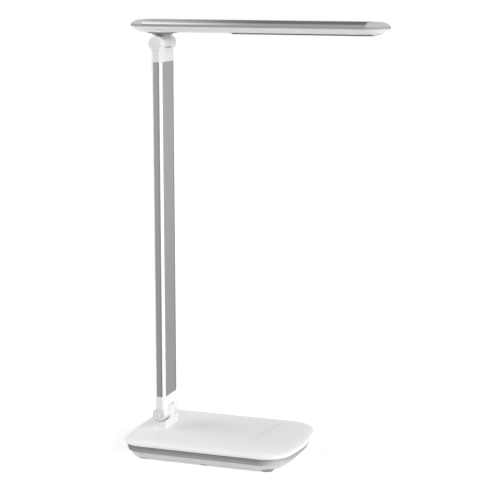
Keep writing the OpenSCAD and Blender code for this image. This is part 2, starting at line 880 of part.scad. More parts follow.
module arm_broad_trims() {
    color(silver) for (side = [-1, 1]) {
        block(hinge_x + side * (arm_t - trim_t) / 2, 0, trim_t, 2 * (broad_half - slide_gap),
            tube_low, tube_high);
    }
}

module arm_edge_trims() {
    color(silver) for (side = [-1, 1]) {
        block(hinge_x, side * (arm_w - trim_t) / 2, 2 * (edge_half - slide_gap), trim_t,
            tube_low, tube_high);
    }
}

module arm_end_screws() {
    seat_x = -arm_t / 2 + trim_t + end_head_h;
    color(steel) at_each_end() for (y = [-1, 1]) {
        x_rod(end_head_r, seat_x - end_head_h + run_gap, seat_x,
            y * end_screw_dy / 2, joint_len + screw_up);
        x_rod(end_screw_r, seat_x - eps, -bore_t / 2 + end_bore_depth - 0.3,
            y * end_screw_dy / 2, joint_len + screw_up);
    }
}

module arm_lead() {
    color("dimgray") post(hinge_x, 0, lead_r,
        lower_axis_z + slot_reach + over, upper_axis_z - slot_reach - over);
}

// ---- neck and swivel ----

module head_neck() {
    flare_rim_z = neck_top - flare_rim_t;
    color(white) at_upper_axis() difference() {
        union() {
            y_rod(ear_r, -stem_half, stem_half);
            block(0, 0, 2 * stem_half, 2 * stem_half, 0, flare_z + eps);
            rotate_extrude() polygon(concat(
                [[0, neck_top], [0, flare_z]],
                [for (i = [0:arc_steps]) let (a = 90 * i / arc_steps) [
                    flare_top_r - (flare_top_r - flare_low_r) * cos(a),
                    flare_z + (flare_rim_z - flare_z) * sin(a)
                ]],
                [[flare_top_r, neck_top]]
            ));
        }
        y_rod(bolt_r + run_gap, -tongue_wid, tongue_wid);
        post(0, 0, swivel_r + run_gap, tube_start, neck_top + over);
    }
}

module swivel_tube() {
    color(steel) at_upper_axis() difference() {
        post(0, 0, swivel_r, tube_start + 0.1, swivel_top);
        post(0, 0, swivel_bore_r, tube_start - over, swivel_top + over);
    }
}

// A flat ring on the swivel axis
module swivel_ring(r_out, z0, z1) {
    at_upper_axis() difference() {
        post(0, 0, r_out, z0, z1);
        post(0, 0, swivel_r + run_gap, z0 - over, z1 + over);
    }
}

module swivel_slip_washer() {
    color("ivory") swivel_ring(flare_low_r + 1.3, neck_top, underside);
}

module swivel_wave_washer() {
    color(steel) swivel_ring(swivel_r + 2.5, swivel_floor, swivel_floor + wave_t);
}

module swivel_nut() {
    color(steel) at_upper_axis() difference() {
        translate([0, 0, nut_z]) cylinder(r = swivel_nut_af / 2 / cos(30), h = swivel_nut_t, $fn = 6);
        post(0, 0, swivel_r + run_gap, nut_z - over, nut_z + swivel_nut_t + over);
    }
}

// ---- head, measured from its seam ----

module at_seam() {
    translate([0, 0, seam_z]) children();
}

// Half outline of the lower half: a parabola from the seam to the flat underside
function belly(r, depth) = concat(
    [[0, 0], [r, 0]],
    [for (i = [1:curve_steps]) let (y = r - (r - flat_half) * i / curve_steps)
        [y, -depth * (1 - pow((y - flat_half) / (r - flat_half), 2))]],
    [[0, -depth]]
);

// Half outline of the upper half: an upright edge and a full crown
function crown(r, edge, rise) = concat(
    [[0, 0], [r, 0]],
    [for (i = [0:curve_steps]) let (y = r * cos(90 * i / curve_steps))
        [y, edge + rise * (1 - pow(y / r, crown_power))]]
);

// Mirrors a half outline into a whole one
function both_sides(half) =
    concat(half, [for (i = [len(half) - 1:-1:0]) if (half[i][0] > 0) [-half[i][0], half[i][1]]]);

// A half outline drawn along X
module x_bar(half, x0, x1) {
    translate([x0, 0, 0]) rotate([90, 0, 90]) linear_extrude(x1 - x0) polygon(both_sides(half));
}

// A half outline turned about an upright line at x
module turned(half, x) {
    translate([x, 0, 0]) rotate_extrude() polygon(half);
}

// The whole head in plan: straight between two round ends
module round_ended(half) {
    x_bar(half, rear_x, front_x);
    turned(half, rear_x);
    turned(half, front_x);
}

module head_bottom_housing() {
    color(white) at_seam() difference() {
        union() {
            difference() {
                round_ended(belly(head_r, lower_h));
                translate([0, 0, eps]) round_ended(belly(inner_r, lower_h - floor_t + eps));
            }
            post(hinge_x, 0, pad_r, -lower_h, -lower_h + floor_t);
            for (p = cap_screw_places) {
                post(p[0], p[1], screw_pad_r, screw_seat - 0.9, screw_pad_z);
            }
        }
        post(hinge_x, 0, swivel_r + run_gap, -lower_h - over, 0);
        block(panel_mid, 0, opening_len, opening_wid, -lower_h - over, 0);
        for (p = cap_screw_places) {
            post(p[0], p[1], head_screw_head_r + slide_gap, -lower_h - over, screw_seat);
            post(p[0], p[1], head_screw_r + through_gap, -lower_h, screw_pad_z + over);
        }
    }
}

// The hollow upper half between x0 and x1
module crown_shell(x0, x1) {
    intersection() {
        difference() {
            round_ended(crown(head_r, edge_h, crown_h));
            translate([0, 0, -eps]) round_ended(crown(inner_top_r, edge_h - top_wall, crown_h));
        }
        block((x0 + x1) / 2, 0, x1 - x0, 2 * head_r + 2, -over, 2 * head_r);
    }
}

module head_top_profile() {
    rib_x0 = panel_x0 + 2;
    rib_x1 = front_x - spigot_back - 1;
    ceiling = edge_h + crown_h - top_wall;
    color(silver) at_seam() difference() {
        union() {
            crown_shell(rear_x - profile_reach, front_x + profile_reach);
            for (side = [-1, 1]) {
                block((rib_x0 + rib_x1) / 2, side * rib_y, rib_x1 - rib_x0, rib_t, rib_z, ceiling);
            }
        }
        for (x = led_screw_x, y = [-rib_y, rib_y]) {
            post(x, y, led_screw_r + run_gap, rib_z - over, ceiling);
        }
    }
}

// End cap with its round end towards +X about the origin, and a spigot behind it
module head_cap(screw_x) {
    spigot_r = sqrt(pow(inner_top_r, 2) - pow(profile_reach, 2)) - slide_gap;
    spigot_wall = 1.2;
    cap_root = 3.5;
    ceiling = edge_h + crown_h - top_wall;
    difference() {
        union() {
            difference() {
                turned(crown(head_r, edge_h, crown_h), 0);
                translate([0, 0, -eps]) turned(crown(inner_top_r, edge_h - top_wall, crown_h), 0);
                block(profile_reach - head_r, 0, 2 * head_r, 2 * head_r + 2, -over, 2 * head_r);
            }
            difference() {
                x_bar(crown(spigot_r, edge_h - top_wall - slide_gap, crown_h),
                    -spigot_back, profile_reach + cap_root);
                translate([0, 0, -eps]) x_bar(
                    crown(spigot_r - spigot_wall, edge_h - top_wall - slide_gap - spigot_wall, crown_h),
                    -spigot_back - over, head_r);
            }
            for (y = [-1, 1]) {
                post(screw_x, y * cap_screw_dy / 2, head_screw_r + 1.3,
                    screw_pad_z + run_gap, ceiling - 0.6);
            }
        }
        for (y = [-1, 1]) {
            post(screw_x, y * cap_screw_dy / 2, head_screw_r + run_gap, -lower_h, ceiling - 1.2);
        }
    }
}

module head_front_cap() {
    color("lightgray") at_seam() translate([front_x, 0, 0]) head_cap(front_screw_x - front_x);
}

module head_rear_cap() {
    color("lightgray") at_seam() translate([rear_x, 0, 0]) mirror([1, 0, 0])
        head_cap(rear_x - rear_screw_x);
}

module head_screws() {
    ceiling = edge_h + crown_h - top_wall;
    head_screw_head_h = 1.4;
    color(steel) at_seam() for (p = cap_screw_places) {
        post(p[0], p[1], head_screw_head_r, screw_seat - head_screw_head_h, screw_seat);
        post(p[0], p[1], head_screw_r, screw_seat - eps, ceiling - 1.5);
    }
}

// ---- light panel ----

module panel_bezel() {
    color("gray") at_seam() translate([panel_mid, 0, 0]) difference() {
        union() {
            translate([0, 0, -lower_h - bezel_t]) linear_extrude(bezel_t)
                round_rect(panel_len, panel_wid, 2);
            block(0, 0, sleeve_len, sleeve_wid, -lower_h - eps, bezel_top);
        }
        block(0, 0, tray_len + 2 * slide_gap, tray_wid + 2 * slide_gap, -lower_h, bezel_top + over);
        block(0, 0, tray_len - 2 * bezel_ledge, tray_wid - 2 * bezel_ledge,
            -lower_h - bezel_t - over, bezel_top);
    }
}

module diffuser() {
    color("white", 0.9) at_seam() block(panel_mid, 0, tray_len, tray_wid, -lower_h, tray_z);
}

module reflector() {
    color("white") at_seam() difference() {
        block(panel_mid, 0, tray_len, tray_wid, tray_z, led_board_z);
        block(panel_mid, 0, tray_len - 2 * reflector_t, tray_wid - 2 * reflector_t,
            tray_z - over, led_board_z + over);
    }
}

module led_board() {
    color("ivory") at_seam() difference() {
        block(panel_mid, 0, tray_len, tray_wid, led_board_z, led_board_top);
        for (x = led_screw_x, y = [-rib_y, rib_y]) {
            post(x, y, led_screw_r + through_gap, led_board_z - over, led_board_top + over);
        }
    }
}

module led_chips() {
    color("khaki") at_seam() for (i = [0:led_columns - 1], side = [-1, 1]) {
        x = panel_mid - led_span / 2 + led_span * i / (led_columns - 1);
        block(x, side * led_row_dy / 2, led_len, led_wid, led_board_z - led_h, led_board_z);
    }
}

module led_board_screws() {
    ceiling = edge_h + crown_h - top_wall;
    color(steel) at_seam() for (x = led_screw_x, y = [-rib_y, rib_y]) {
        post(x, y, led_screw_head_r, led_board_z - led_screw_head_h, led_board_z);
        post(x, y, led_screw_r, led_board_z - eps, ceiling - 0.3);
    }
}

base_top_cover();
base_trim_band();
base_bottom_shell();
rubber_feet();
base_screws();
base_weight();
weight_screws();
control_board();
board_screws();
touch_electrodes();
power_inlet();
hinge_bracket();
backing_plate();
bracket_screws();
at_lower_axis() hinge_bolt();  // lower_hinge_bolt
at_lower_axis() friction_washers();  // lower_friction_washers
at_lower_axis() disc_spring();  // lower_disc_spring
at_lower_axis() hinge_nut();  // lower_hinge_nut
at_lower_axis() pivot_caps();  // lower_pivot_caps
arm_lower_end();
arm_tube();
arm_broad_trims();
arm_edge_trims();
arm_upper_end();
arm_end_screws();
arm_lead();
at_upper_axis() hinge_bolt();  // upper_hinge_bolt
at_upper_axis() friction_washers();  // upper_friction_washers
at_upper_axis() disc_spring();  // upper_disc_spring
at_upper_axis() hinge_nut();  // upper_hinge_nut
at_upper_axis() pivot_caps();  // upper_pivot_caps
head_neck();
swivel_tube();
swivel_slip_washer();
swivel_wave_washer();
swivel_nut();
head_bottom_housing();
head_top_profile();
head_rear_cap();
head_front_cap();
head_screws();
panel_bezel();
diffuser();
reflector();
led_board();
led_chips();
led_board_screws();
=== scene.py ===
from math import atan2, cos, hypot, pi, radians, sin, sqrt

import bmesh
import bpy
from mathutils import Matrix, Vector


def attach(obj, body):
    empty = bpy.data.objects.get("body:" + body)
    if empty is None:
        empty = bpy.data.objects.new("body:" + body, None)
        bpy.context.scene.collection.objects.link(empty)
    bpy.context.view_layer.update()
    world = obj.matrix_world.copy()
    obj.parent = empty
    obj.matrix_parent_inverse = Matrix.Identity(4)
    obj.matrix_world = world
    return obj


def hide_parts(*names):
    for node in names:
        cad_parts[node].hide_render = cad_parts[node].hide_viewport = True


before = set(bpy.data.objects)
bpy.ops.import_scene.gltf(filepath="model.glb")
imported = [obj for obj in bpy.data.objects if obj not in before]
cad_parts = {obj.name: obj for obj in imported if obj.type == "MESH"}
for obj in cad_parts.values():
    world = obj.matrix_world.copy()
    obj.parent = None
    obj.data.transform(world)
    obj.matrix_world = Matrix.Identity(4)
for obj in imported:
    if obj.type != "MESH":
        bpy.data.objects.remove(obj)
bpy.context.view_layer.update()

# ---- Camera and studio ----
# The photograph was taken with a long lens from the front left, a little above
# the lamp's head. The studio is a plain white floor under soft daylight,
# mostly from both sides.

MM = 0.001
LENS, SENSOR = 109.66, 36
CLIP = (0.05, 60)
CAMERA_PLACE = (477.7, -1307, 455)
CAMERA_DOWN = 10.68
CAMERA_TURN = 19.0

camera_data = bpy.data.cameras.new("photo_camera")
camera_data.sensor_width = SENSOR
camera_data.lens = LENS
camera_data.clip_start, camera_data.clip_end = CLIP
camera = bpy.data.objects.new("photo_camera", camera_data)
camera.location = Vector(CAMERA_PLACE) * MM
camera.rotation_euler = (radians(90 - CAMERA_DOWN), 0, radians(CAMERA_TURN))
bpy.context.scene.collection.objects.link(camera)
bpy.context.scene.camera = camera
bpy.context.scene.view_settings.view_transform = "Standard"


def worked_out(tree, value, *steps):
    """Runs a value through a chain of steps, each with a number or another value."""
    for operation, other in steps:
        step = tree.nodes.new("ShaderNodeMath")
        step.operation = operation
        tree.links.new(value, step.inputs[0])
        if isinstance(other, (int, float)):
            step.inputs[1].default_value = other
        else:
            tree.links.new(other, step.inputs[1])
        value = step.outputs[0]
    return value


def seen_directly(tree):
    """1 for what the camera, a mirror or glass sees, and 0 for light on the lamp."""
    path = tree.nodes.new("ShaderNodeLightPath").outputs
    return worked_out(tree, path["Is Camera Ray"], ("MAXIMUM", path["Is Glossy Ray"]),
                      ("MAXIMUM", path["Is Transmission Ray"]))


def daylight(white_seen, sky, windows):
    """A surround that looks white, and lights the lamp through soft unseen windows.

    Each window has the way towards it, its brightness and how narrow it is.
    """
    world = bpy.data.worlds.new("white_studio")
    bpy.context.scene.world = world
    world.use_nodes = True
    tree = world.node_tree
    tree.nodes.clear()
    background = tree.nodes.new("ShaderNodeBackground")
    background.inputs["Color"].default_value = (1, 1, 1, 1)
    way = tree.nodes.new("ShaderNodeTexCoord")
    light = sky
    for towards, brightness, focus in windows:
        lean = tree.nodes.new("ShaderNodeVectorMath")
        lean.operation = "DOT_PRODUCT"
        lean.inputs[1].default_value = Vector(towards).normalized()
        tree.links.new(way.outputs["Generated"], lean.inputs[0])
        light = worked_out(tree, lean.outputs["Value"], ("MAXIMUM", 0), ("POWER", focus),
                           ("MULTIPLY", brightness), ("ADD", light))
    strength = tree.nodes.new("ShaderNodeMapRange")
    strength.inputs["To Max"].default_value = white_seen
    tree.links.new(seen_directly(tree), strength.inputs["Value"])
    tree.links.new(light, strength.inputs["To Min"])
    tree.links.new(strength.outputs[0], background.inputs["Strength"])
    out = tree.nodes.new("ShaderNodeOutputWorld")
    tree.links.new(background.outputs[0], out.inputs["Surface"])


def studio_floor(size, paper_tone, glow):
    """A floor of grey paper that looks white and keeps a faint shadow."""
    mesh = bpy.data.meshes.new("studio_floor")
    s = size / 2
    mesh.from_pydata([(-s, -s, 0), (s, -s, 0), (s, s, 0), (-s, s, 0)], [], [(0, 1, 2, 3)])
    floor = bpy.data.objects.new("studio_floor", mesh)
    bpy.context.scene.collection.objects.link(floor)
    paper = bpy.data.materials.new("studio_paper")
    paper.use_nodes = True
    tree = paper.node_tree
    tree.nodes.clear()
    diffuse = tree.nodes.new("ShaderNodeBsdfDiffuse")
    diffuse.inputs["Color"].default_value = (paper_tone, paper_tone, paper_tone, 1)
    light = tree.nodes.new("ShaderNodeEmission")
    shown = worked_out(tree, seen_directly(tree), ("MULTIPLY", glow))
    tree.links.new(shown, light.inputs["Strength"])
    both = tree.nodes.new("ShaderNodeAddShader")
    tree.links.new(diffuse.outputs[0], both.inputs[0])
    tree.links.new(light.outputs[0], both.inputs[1])
    out = tree.nodes.new("ShaderNodeOutputMaterial")
    tree.links.new(both.outputs[0], out.inputs["Surface"])
    mesh.materials.append(paper)


def softbox(name, place, target, size, power):
    """A large soft lamp aimed at a point on the desk lamp."""
    data = bpy.data.lights.new(name, "AREA")
    data.shape = "DISK"
    data.size = size
    data.energy = power
    lamp = bpy.data.objects.new(name, data)
    lamp.location = place
    aim = Vector(target) - Vector(place)
    lamp.rotation_euler = aim.to_track_quat("-Z", "Y").to_euler()
    bpy.context.scene.collection.objects.link(lamp)


daylight(white_seen=1.0, sky=0.0, windows=(
    ((-0.92, -0.12, 0.33), 4.5, 8),
    ((0.93, -0.2, 0.28), 5.8, 8),
    ((0.1, -0.95, 0.2), 1.25, 8),
    ((0, 0.8, 0.6), 0.25, 8)))
studio_floor(size=9, paper_tone=0.8, glow=0.5)
softbox("hair_softbox", (-0.62, 0.5, 1.1), (-0.05, 0, 0.4), 0.3, 0.4)


# ---- Base bottom shell ----
# A white moulded tray with raised walls that the cover lands on. It draws in
# strongly at both ends, and screws pull the cover down onto it.

HALF_LEN, HALF_WID = 84.3, 56.3
FRONT_CORNER, REAR_CORNER = 25.6, 19
FRONT_BOW, REAR_BOW = 165, 860


def arc(x, y, r, start, end, steps):
    """Points on a round stretch about (x, y), without its last point."""
    turn = end - start
    return [(x + r * cos(start + turn * i / steps), y + r * sin(start + turn * i / steps))
            for i in range(steps)]


def base_outline(end_in, side_in, steps=22):
    """The base from above in millimetres, drawn in at its ends and sides."""
    length, width = HALF_LEN - end_in, HALF_WID - side_in
    front_r, rear_r = max(FRONT_CORNER - side_in, 8), max(REAR_CORNER - side_in, 8)
    front_b, rear_b = FRONT_BOW - end_in, REAR_BOW - end_in
    front_x = length - front_b + sqrt((front_b - front_r) ** 2 - (width - front_r) ** 2)
    rear_x = length - rear_b + sqrt((rear_b - rear_r) ** 2 - (width - rear_r) ** 2)
    front_a = atan2(width - front_r, front_x - length + front_b)
    rear_a = atan2(width - rear_r, rear_x - length + rear_b)
    run = front_x + rear_x
    points = arc(length - front_b, 0, front_b, -front_a, front_a, 2 * steps)
    points += arc(front_x, width - front_r, front_r, front_a, pi / 2, steps)
    points += [(front_x - run * i / steps, width) for i in range(steps)]
    points += arc(-rear_x, width - rear_r, rear_r, pi / 2, pi - rear_a, steps)
    points += arc(rear_b - length, 0, rear_b, pi - rear_a, pi + rear_a, 2 * steps)
    points += arc(-rear_x, rear_r - width, rear_r, pi + rear_a, 3 * pi / 2, steps)
    points += [(run * i / steps - rear_x, -width) for i in range(steps)]
    points += arc(front_x, front_r - width, front_r, 3 * pi / 2, 2 * pi - front_a, steps)
    return points


def level(outline, z):
    """A flat outline in millimetres as points of the scene."""
    return [Vector((x, y, z)) * MM for x, y in outline]


def new_piece(name, mesh):
    piece = bpy.data.objects.new(name, mesh)
    bpy.context.scene.collection.objects.link(piece)
    return piece


def built(name, bm, turn=Matrix(), at=(0, 0, 0)):
    """Makes a piece of a finished bmesh, turned and carried to a point in millimetres."""
    bm.transform(turn)
    bm.transform(Matrix.Translation(Vector(at) * MM))
    bmesh.ops.recalc_face_normals(bm, faces=bm.faces)
    mesh = bpy.data.meshes.new(name)
    bm.to_mesh(mesh)
    bm.free()
    return new_piece(name, mesh)


def loft(name, rings):
    """A closed skin through rings of equal count, from a flat end to a flat end."""
    bm = bmesh.new()
    rows = [[bm.verts.new(p) for p in ring] for ring in rings]
    for a, b in zip(rows, rows[1:]):
        for i in range(len(a)):
            j = (i + 1) % len(a)
            bm.faces.new((a[i], a[j], b[j], b[i]))
    bm.faces.new(list(reversed(rows[0])))
    bm.faces.new(rows[-1])
    return built(name, bm)


def applied(piece):
    """Turns a piece's modifiers into its plain mesh."""
    graph = bpy.context.evaluated_depsgraph_get()
    mesh = bpy.data.meshes.new_from_object(piece.evaluated_get(graph))
    piece.modifiers.clear()
    old = piece.data
    piece.data = mesh
    bpy.data.meshes.remove(old)
    return piece


def carve(piece, tool, how="DIFFERENCE"):
    """Cuts a tool out of a piece, or joins it on, and uses the tool up."""
    cut = piece.modifiers.new("cut", "BOOLEAN")
    cut.operation = how
    cut.solver = "EXACT"
    cut.object = tool
    applied(piece)
    bpy.data.objects.remove(tool)
    return piece


def round_edges(piece, width, segments=3, sharper_than=28):
    """Gives a moulded or machined piece its small edge radius."""
    edge = piece.modifiers.new("edge", "BEVEL")
    edge.width = width * MM
    edge.segments = segments
    edge.limit_method = "ANGLE"
    edge.angle_limit = radians(sharper_than)
    return applied(piece)


def shade(piece, crease=35):
    piece.data.shade_smooth()
    piece.data.set_sharp_from_angle(angle=radians(crease))
    return piece


ALONG = {"X": Matrix.Rotation(pi / 2, 4, "Y"), "Y": Matrix.Rotation(-pi / 2, 4, "X"),
         "Z": Matrix()}


def rod(name, r, length, axis="Z", at=(0, 0, 0), sides=96):
    """A plain cylinder tool or blank, centred at a point in millimetres."""
    bm = bmesh.new()
    bmesh.ops.create_cone(bm, cap_ends=True, segments=sides, radius1=r * MM, radius2=r * MM,
                          depth=length * MM)
    return built(name, bm, ALONG[axis], at)


def block(name, low, high):
    """A plain box tool or blank between two corners in millimetres."""
    bm = bmesh.new()
    bmesh.ops.create_cube(bm, size=1)
    low, high = Vector(low) * MM, Vector(high) * MM
    return built(name, bm, Matrix.Translation((low + high) / 2)
                 @ Matrix.Diagonal((*(high - low), 1)))


ON_END = {"X": Matrix(((0, 0, 1), (1, 0, 0), (0, 1, 0))).to_4x4(), "Z": Matrix()}


def prism(name, outline, depth, axis, at):
    """A flat outline in millimetres pushed along X or Z, centred at a point."""
    bm = bmesh.new()
    low = [bm.verts.new((x * MM, y * MM, -depth / 2 * MM)) for x, y in outline]
    high = [bm.verts.new((x * MM, y * MM, depth / 2 * MM)) for x, y in outline]
    bm.faces.new(list(reversed(low)))
    bm.faces.new(high)
    for i in range(len(outline)):
        j = (i + 1) % len(outline)
        bm.faces.new((low[i], low[j], high[j], high[i]))
    return built(name, bm, ON_END[axis], at)


def fit(piece, body, slot, material, *stands_for):
    """Dresses a finished piece and mounts it on its body in place of the CAD nodes."""
    piece.data.materials.clear()
    piece.data.materials.append(material)
    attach(piece, body)
    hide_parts(*stands_for)


def dress(material, *names):
    """Gives CAD nodes that stay in view their finish."""
    for name in names:
        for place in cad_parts[name].material_slots:
            place.material = material


def new_finish(name):
    material = bpy.data.materials.new(name)
    material.use_nodes = True
    tree = material.node_tree
    return material, tree, tree.nodes["Principled BSDF"]


def speckle(tree, scale, detail=3.0, stretch=(1, 1, 1)):
    """Noise fixed to the piece, stretched along an axis where it is drawn or brushed."""
    place = tree.nodes.new("ShaderNodeTexCoord")
    stretcher = tree.nodes.new("ShaderNodeMapping")
    stretcher.inputs["Scale"].default_value = stretch
    tree.links.new(place.outputs["Object"], stretcher.inputs["Vector"])
    noise = tree.nodes.new("ShaderNodeTexNoise")
    noise.inputs["Scale"].default_value = scale
    noise.inputs["Detail"].default_value = detail
    tree.links.new(stretcher.outputs[0], noise.inputs["Vector"])
    return noise.outputs["Fac"]


def ranged(tree, value, low, high, start, end, kind="SMOOTHSTEP"):
    """Runs from one number to another as a value goes from low to high."""
    step = tree.nodes.new("ShaderNodeMapRange")
    step.interpolation_type = kind
    for name, number in (("From Min", low), ("From Max", high), ("To Min", start), ("To Max", end)):
        step.inputs[name].default_value = number
    tree.links.new(value, step.inputs["Value"])
    return step.outputs[0]


def mixed(tree, factor, low, high):
    """Goes between two colours, each of them fixed or worked out."""
    mix = tree.nodes.new("ShaderNodeMix")
    mix.data_type = "RGBA"
    tree.links.new(factor, mix.inputs["Factor"])
    for side, colour in (("A", low), ("B", high)):
        if isinstance(colour, tuple):
            mix.inputs[side].default_value = (*colour, 1)
        else:
            tree.links.new(colour, mix.inputs[side])
    return mix.outputs["Result"]


def wander(tree, noise, low, high):
    """A number that wanders between two limits with the middle part of a noise."""
    return ranged(tree, noise, 0.3, 0.7, low, high, "LINEAR")


def raised(tree, shader, height, depth):
    """Lets fine relief of a depth in millimetres catch the light."""
    bump = tree.nodes.new("ShaderNodeBump")
    bump.inputs["Distance"].default_value = depth * MM
    bump.inputs["Strength"].default_value = 1
    tree.links.new(height, bump.inputs["Height"])
    tree.links.new(bump.outputs[0], shader.inputs["Normal"])


def moulded(name, colour, rough, coat=0.0):
    """Injection-moulded plastic: a faint cloud in its colour and a fine skin."""
    material, tree, shader = new_finish(name)
    darker = tuple(c * 0.975 for c in colour)
    tree.links.new(mixed(tree, speckle(tree, 38, 4), darker, colour), shader.inputs["Base Color"])
    raised(tree, shader, speckle(tree, 700, 2), 0.002)
    shader.inputs["Roughness"].default_value = rough
    shader.inputs["Coat Weight"].default_value = coat
    shader.inputs["Coat Roughness"].default_value = 0.08
    return material


shell_white = moulded("shell_white", (0.69, 0.69, 0.675), 0.36)

# Heights, and how far the ends and sides lie in: up the outside, then down the inside.
shell_rings = [
    (1.2, 10.5, 3.9), (1.25, 9.8, 3.2), (1.5, 9.15, 2.55), (1.85, 8.78, 2.15), (2.3, 8.35, 1.95),
    (4.0, 6.72, 1.57), (5.6, 5.2, 1.22), (6.2, 4.6, 1.02), (6.45, 3.95, 0.7), (6.65, 3.82, 0.62),
    (6.78, 3.9, 0.68), (6.8, 4.1, 0.85), (6.8, 5.25, 2.15), (12.2, 3.5, 2.15),
    (12.45, 3.65, 2.3), (12.5, 3.9, 2.6), (12.5, 5.1, 3.7), (12.3, 5.6, 4.1),
    (5.8, 7.2, 4.1), (4.2, 9.4, 4.5), (3.4, 11.2, 5.0), (3.2, 12.2, 5.8)]
shell = loft("bottom_shell", [level(base_outline(e, s), z) for z, e, s in shell_rings])

INLET_Z, INLET_R = 9.55, 2.4
carve(shell, rod("inlet_hole", INLET_R, 12, "X", (-80, 0, INLET_Z)))
shade(shell)
fit(shell, "base", "shell_white", shell_white, "base_bottom_shell")


# ---- Base weight, control board and inlet ----
# A steel plate screwed to the shell keeps the lamp upright. The board with its
# touch pads hangs under the front of the cover, and the jack is at the rear.

def machined(name, colour, rough, grain=(1, 1, 1)):
    """Bare or plated metal with fine marks along the way it was worked."""
    material, tree, shader = new_finish(name)
    marks = speckle(tree, 900, 3, grain)
    darker = tuple(c * 0.9 for c in colour)
    tree.links.new(mixed(tree, marks, darker, colour), shader.inputs["Base Color"])
    tree.links.new(wander(tree, marks, rough * 0.85, rough * 1.15), shader.inputs["Roughness"])
    raised(tree, shader, marks, 0.004)
    shader.inputs["Metallic"].default_value = 1
    return material


plated_steel = machined("plated_steel", (0.62, 0.62, 0.64), 0.36)
weight_steel = machined("weight_steel", (0.36, 0.37, 0.39), 0.5, (0.2, 1, 1))
spring_bronze = machined("spring_bronze", (0.72, 0.5, 0.28), 0.38)
contact_gold = machined("contact_gold", (0.9, 0.66, 0.28), 0.36)
inlet_black = moulded("inlet_black", (0.03, 0.03, 0.032), 0.45)
board_green = moulded("board_green", (0.02, 0.16, 0.07), 0.34, coat=0.4)

dress(weight_steel, "base_weight", "backing_plate")
dress(plated_steel, "bracket_screws", "lower_hinge_bolt", "lower_hinge_nut", "lower_disc_spring",
      "upper_hinge_bolt", "upper_hinge_nut", "upper_disc_spring", "swivel_tube", "swivel_nut",
      "swivel_wave_washer", "arm_end_screws")
dress(spring_bronze, "lower_friction_washers", "upper_friction_washers")
dress(contact_gold, "touch_electrodes")
dress(board_green, "control_board")
dress(inlet_black, "power_inlet")


def lathe(name, profile, sides=96, axis="Z", at=(0, 0, 0)):
    """A turned solid from (radius, height) steps in millimetres, closed on its axis."""
    bm = bmesh.new()
    rows = []
    for r, h in profile:
        if r == 0:
            rows.append([bm.verts.new((0, 0, h * MM))])
        else:
            turns = [2 * pi * i / sides for i in range(sides)]
            rows.append([bm.verts.new((r * cos(a) * MM, r * sin(a) * MM, h * MM)) for a in turns])
    for a, b in zip(rows, rows[1:]):
        for i in range(sides if len(a) + len(b) > 2 else 0):
            j = (i + 1) % sides
            ring = [a[i % len(a)], a[j % len(a)], b[j % len(b)], b[i % len(b)]]
            bm.faces.new(list(dict.fromkeys(ring)))
    if len(rows[0]) > 1 and len(rows[-1]) > 1:
        for i in range(sides):
            j = (i + 1) % sides
            bm.faces.new((rows[-1][i], rows[-1][j], rows[0][j], rows[0][i]))
    return built(name, bm, ALONG[axis], at)


def layout_tree(name, settings):
    """A node tree that takes a piece, named settings and a finish, and its two ends."""
    tree = bpy.data.node_groups.new(name, "GeometryNodeTree")
    for label, kind in (("Piece", "Geometry"), *settings, ("Finish", "Material")):
        tree.interface.new_socket(label, in_out="INPUT", socket_type="NodeSocket" + kind)
    tree.interface.new_socket("Result", in_out="OUTPUT", socket_type="NodeSocketGeometry")
    return tree, tree.nodes.new("NodeGroupInput").outputs, tree.nodes.new("NodeGroupOutput")


def chained(tree, geometry, *steps):
    """Passes geometry through nodes, each with the values for its inputs."""
    for kind, values in steps:
        step = tree.nodes.new(kind)
        inputs = [socket for socket in step.inputs if socket.type == "GEOMETRY"]
        tree.links.new(geometry, inputs[0])
        for name, value in values.items():
            tree.links.new(value, step.inputs[name])
        geometry = step.outputs[0]
    return geometry


def rows_and_columns():
    """The node tree that stands feet, screws and light chips in their grid."""
    tree, given, out = layout_tree("rows_and_columns", (
        ("Columns", "Int"), ("Rows", "Int"), ("Column pitch", "Float"), ("Row pitch", "Float"),
        ("Turn", "Vector"), ("Middle", "Vector")))
    grid = tree.nodes.new("GeometryNodeMeshGrid")
    for count, pitch, size, number in (("Columns", "Column pitch", "Size X", "Vertices X"),
                                       ("Rows", "Row pitch", "Size Y", "Vertices Y")):
        span = worked_out(tree, given[count], ("SUBTRACT", 1), ("MULTIPLY", given[pitch]))
        tree.links.new(span, grid.inputs[size])
        tree.links.new(given[count], grid.inputs[number])
    pieces = chained(tree, grid.outputs["Mesh"],
                     ("GeometryNodeInstanceOnPoints", {"Instance": given["Piece"]}),
                     ("GeometryNodeRealizeInstances", {}),
                     ("GeometryNodeTransform", {"Rotation": given["Turn"],
                                                "Translation": given["Middle"]}),
                     ("GeometryNodeSetMaterial", {"Material": given["Finish"]}))
    tree.links.new(pieces, out.inputs["Result"])
    return tree


grid_tree = rows_and_columns()


def laid_out(piece, tree, **settings):
    """Runs a piece through a node tree with the inputs set by their names."""
    step = piece.modifiers.new("layout", "NODES")
    step.node_group = tree
    for socket in tree.interface.items_tree:
        label = socket.name.replace(" ", "_").lower()
        if socket.in_out == "INPUT" and label in settings:
            step[socket.identifier] = settings[label]
    return applied(piece)


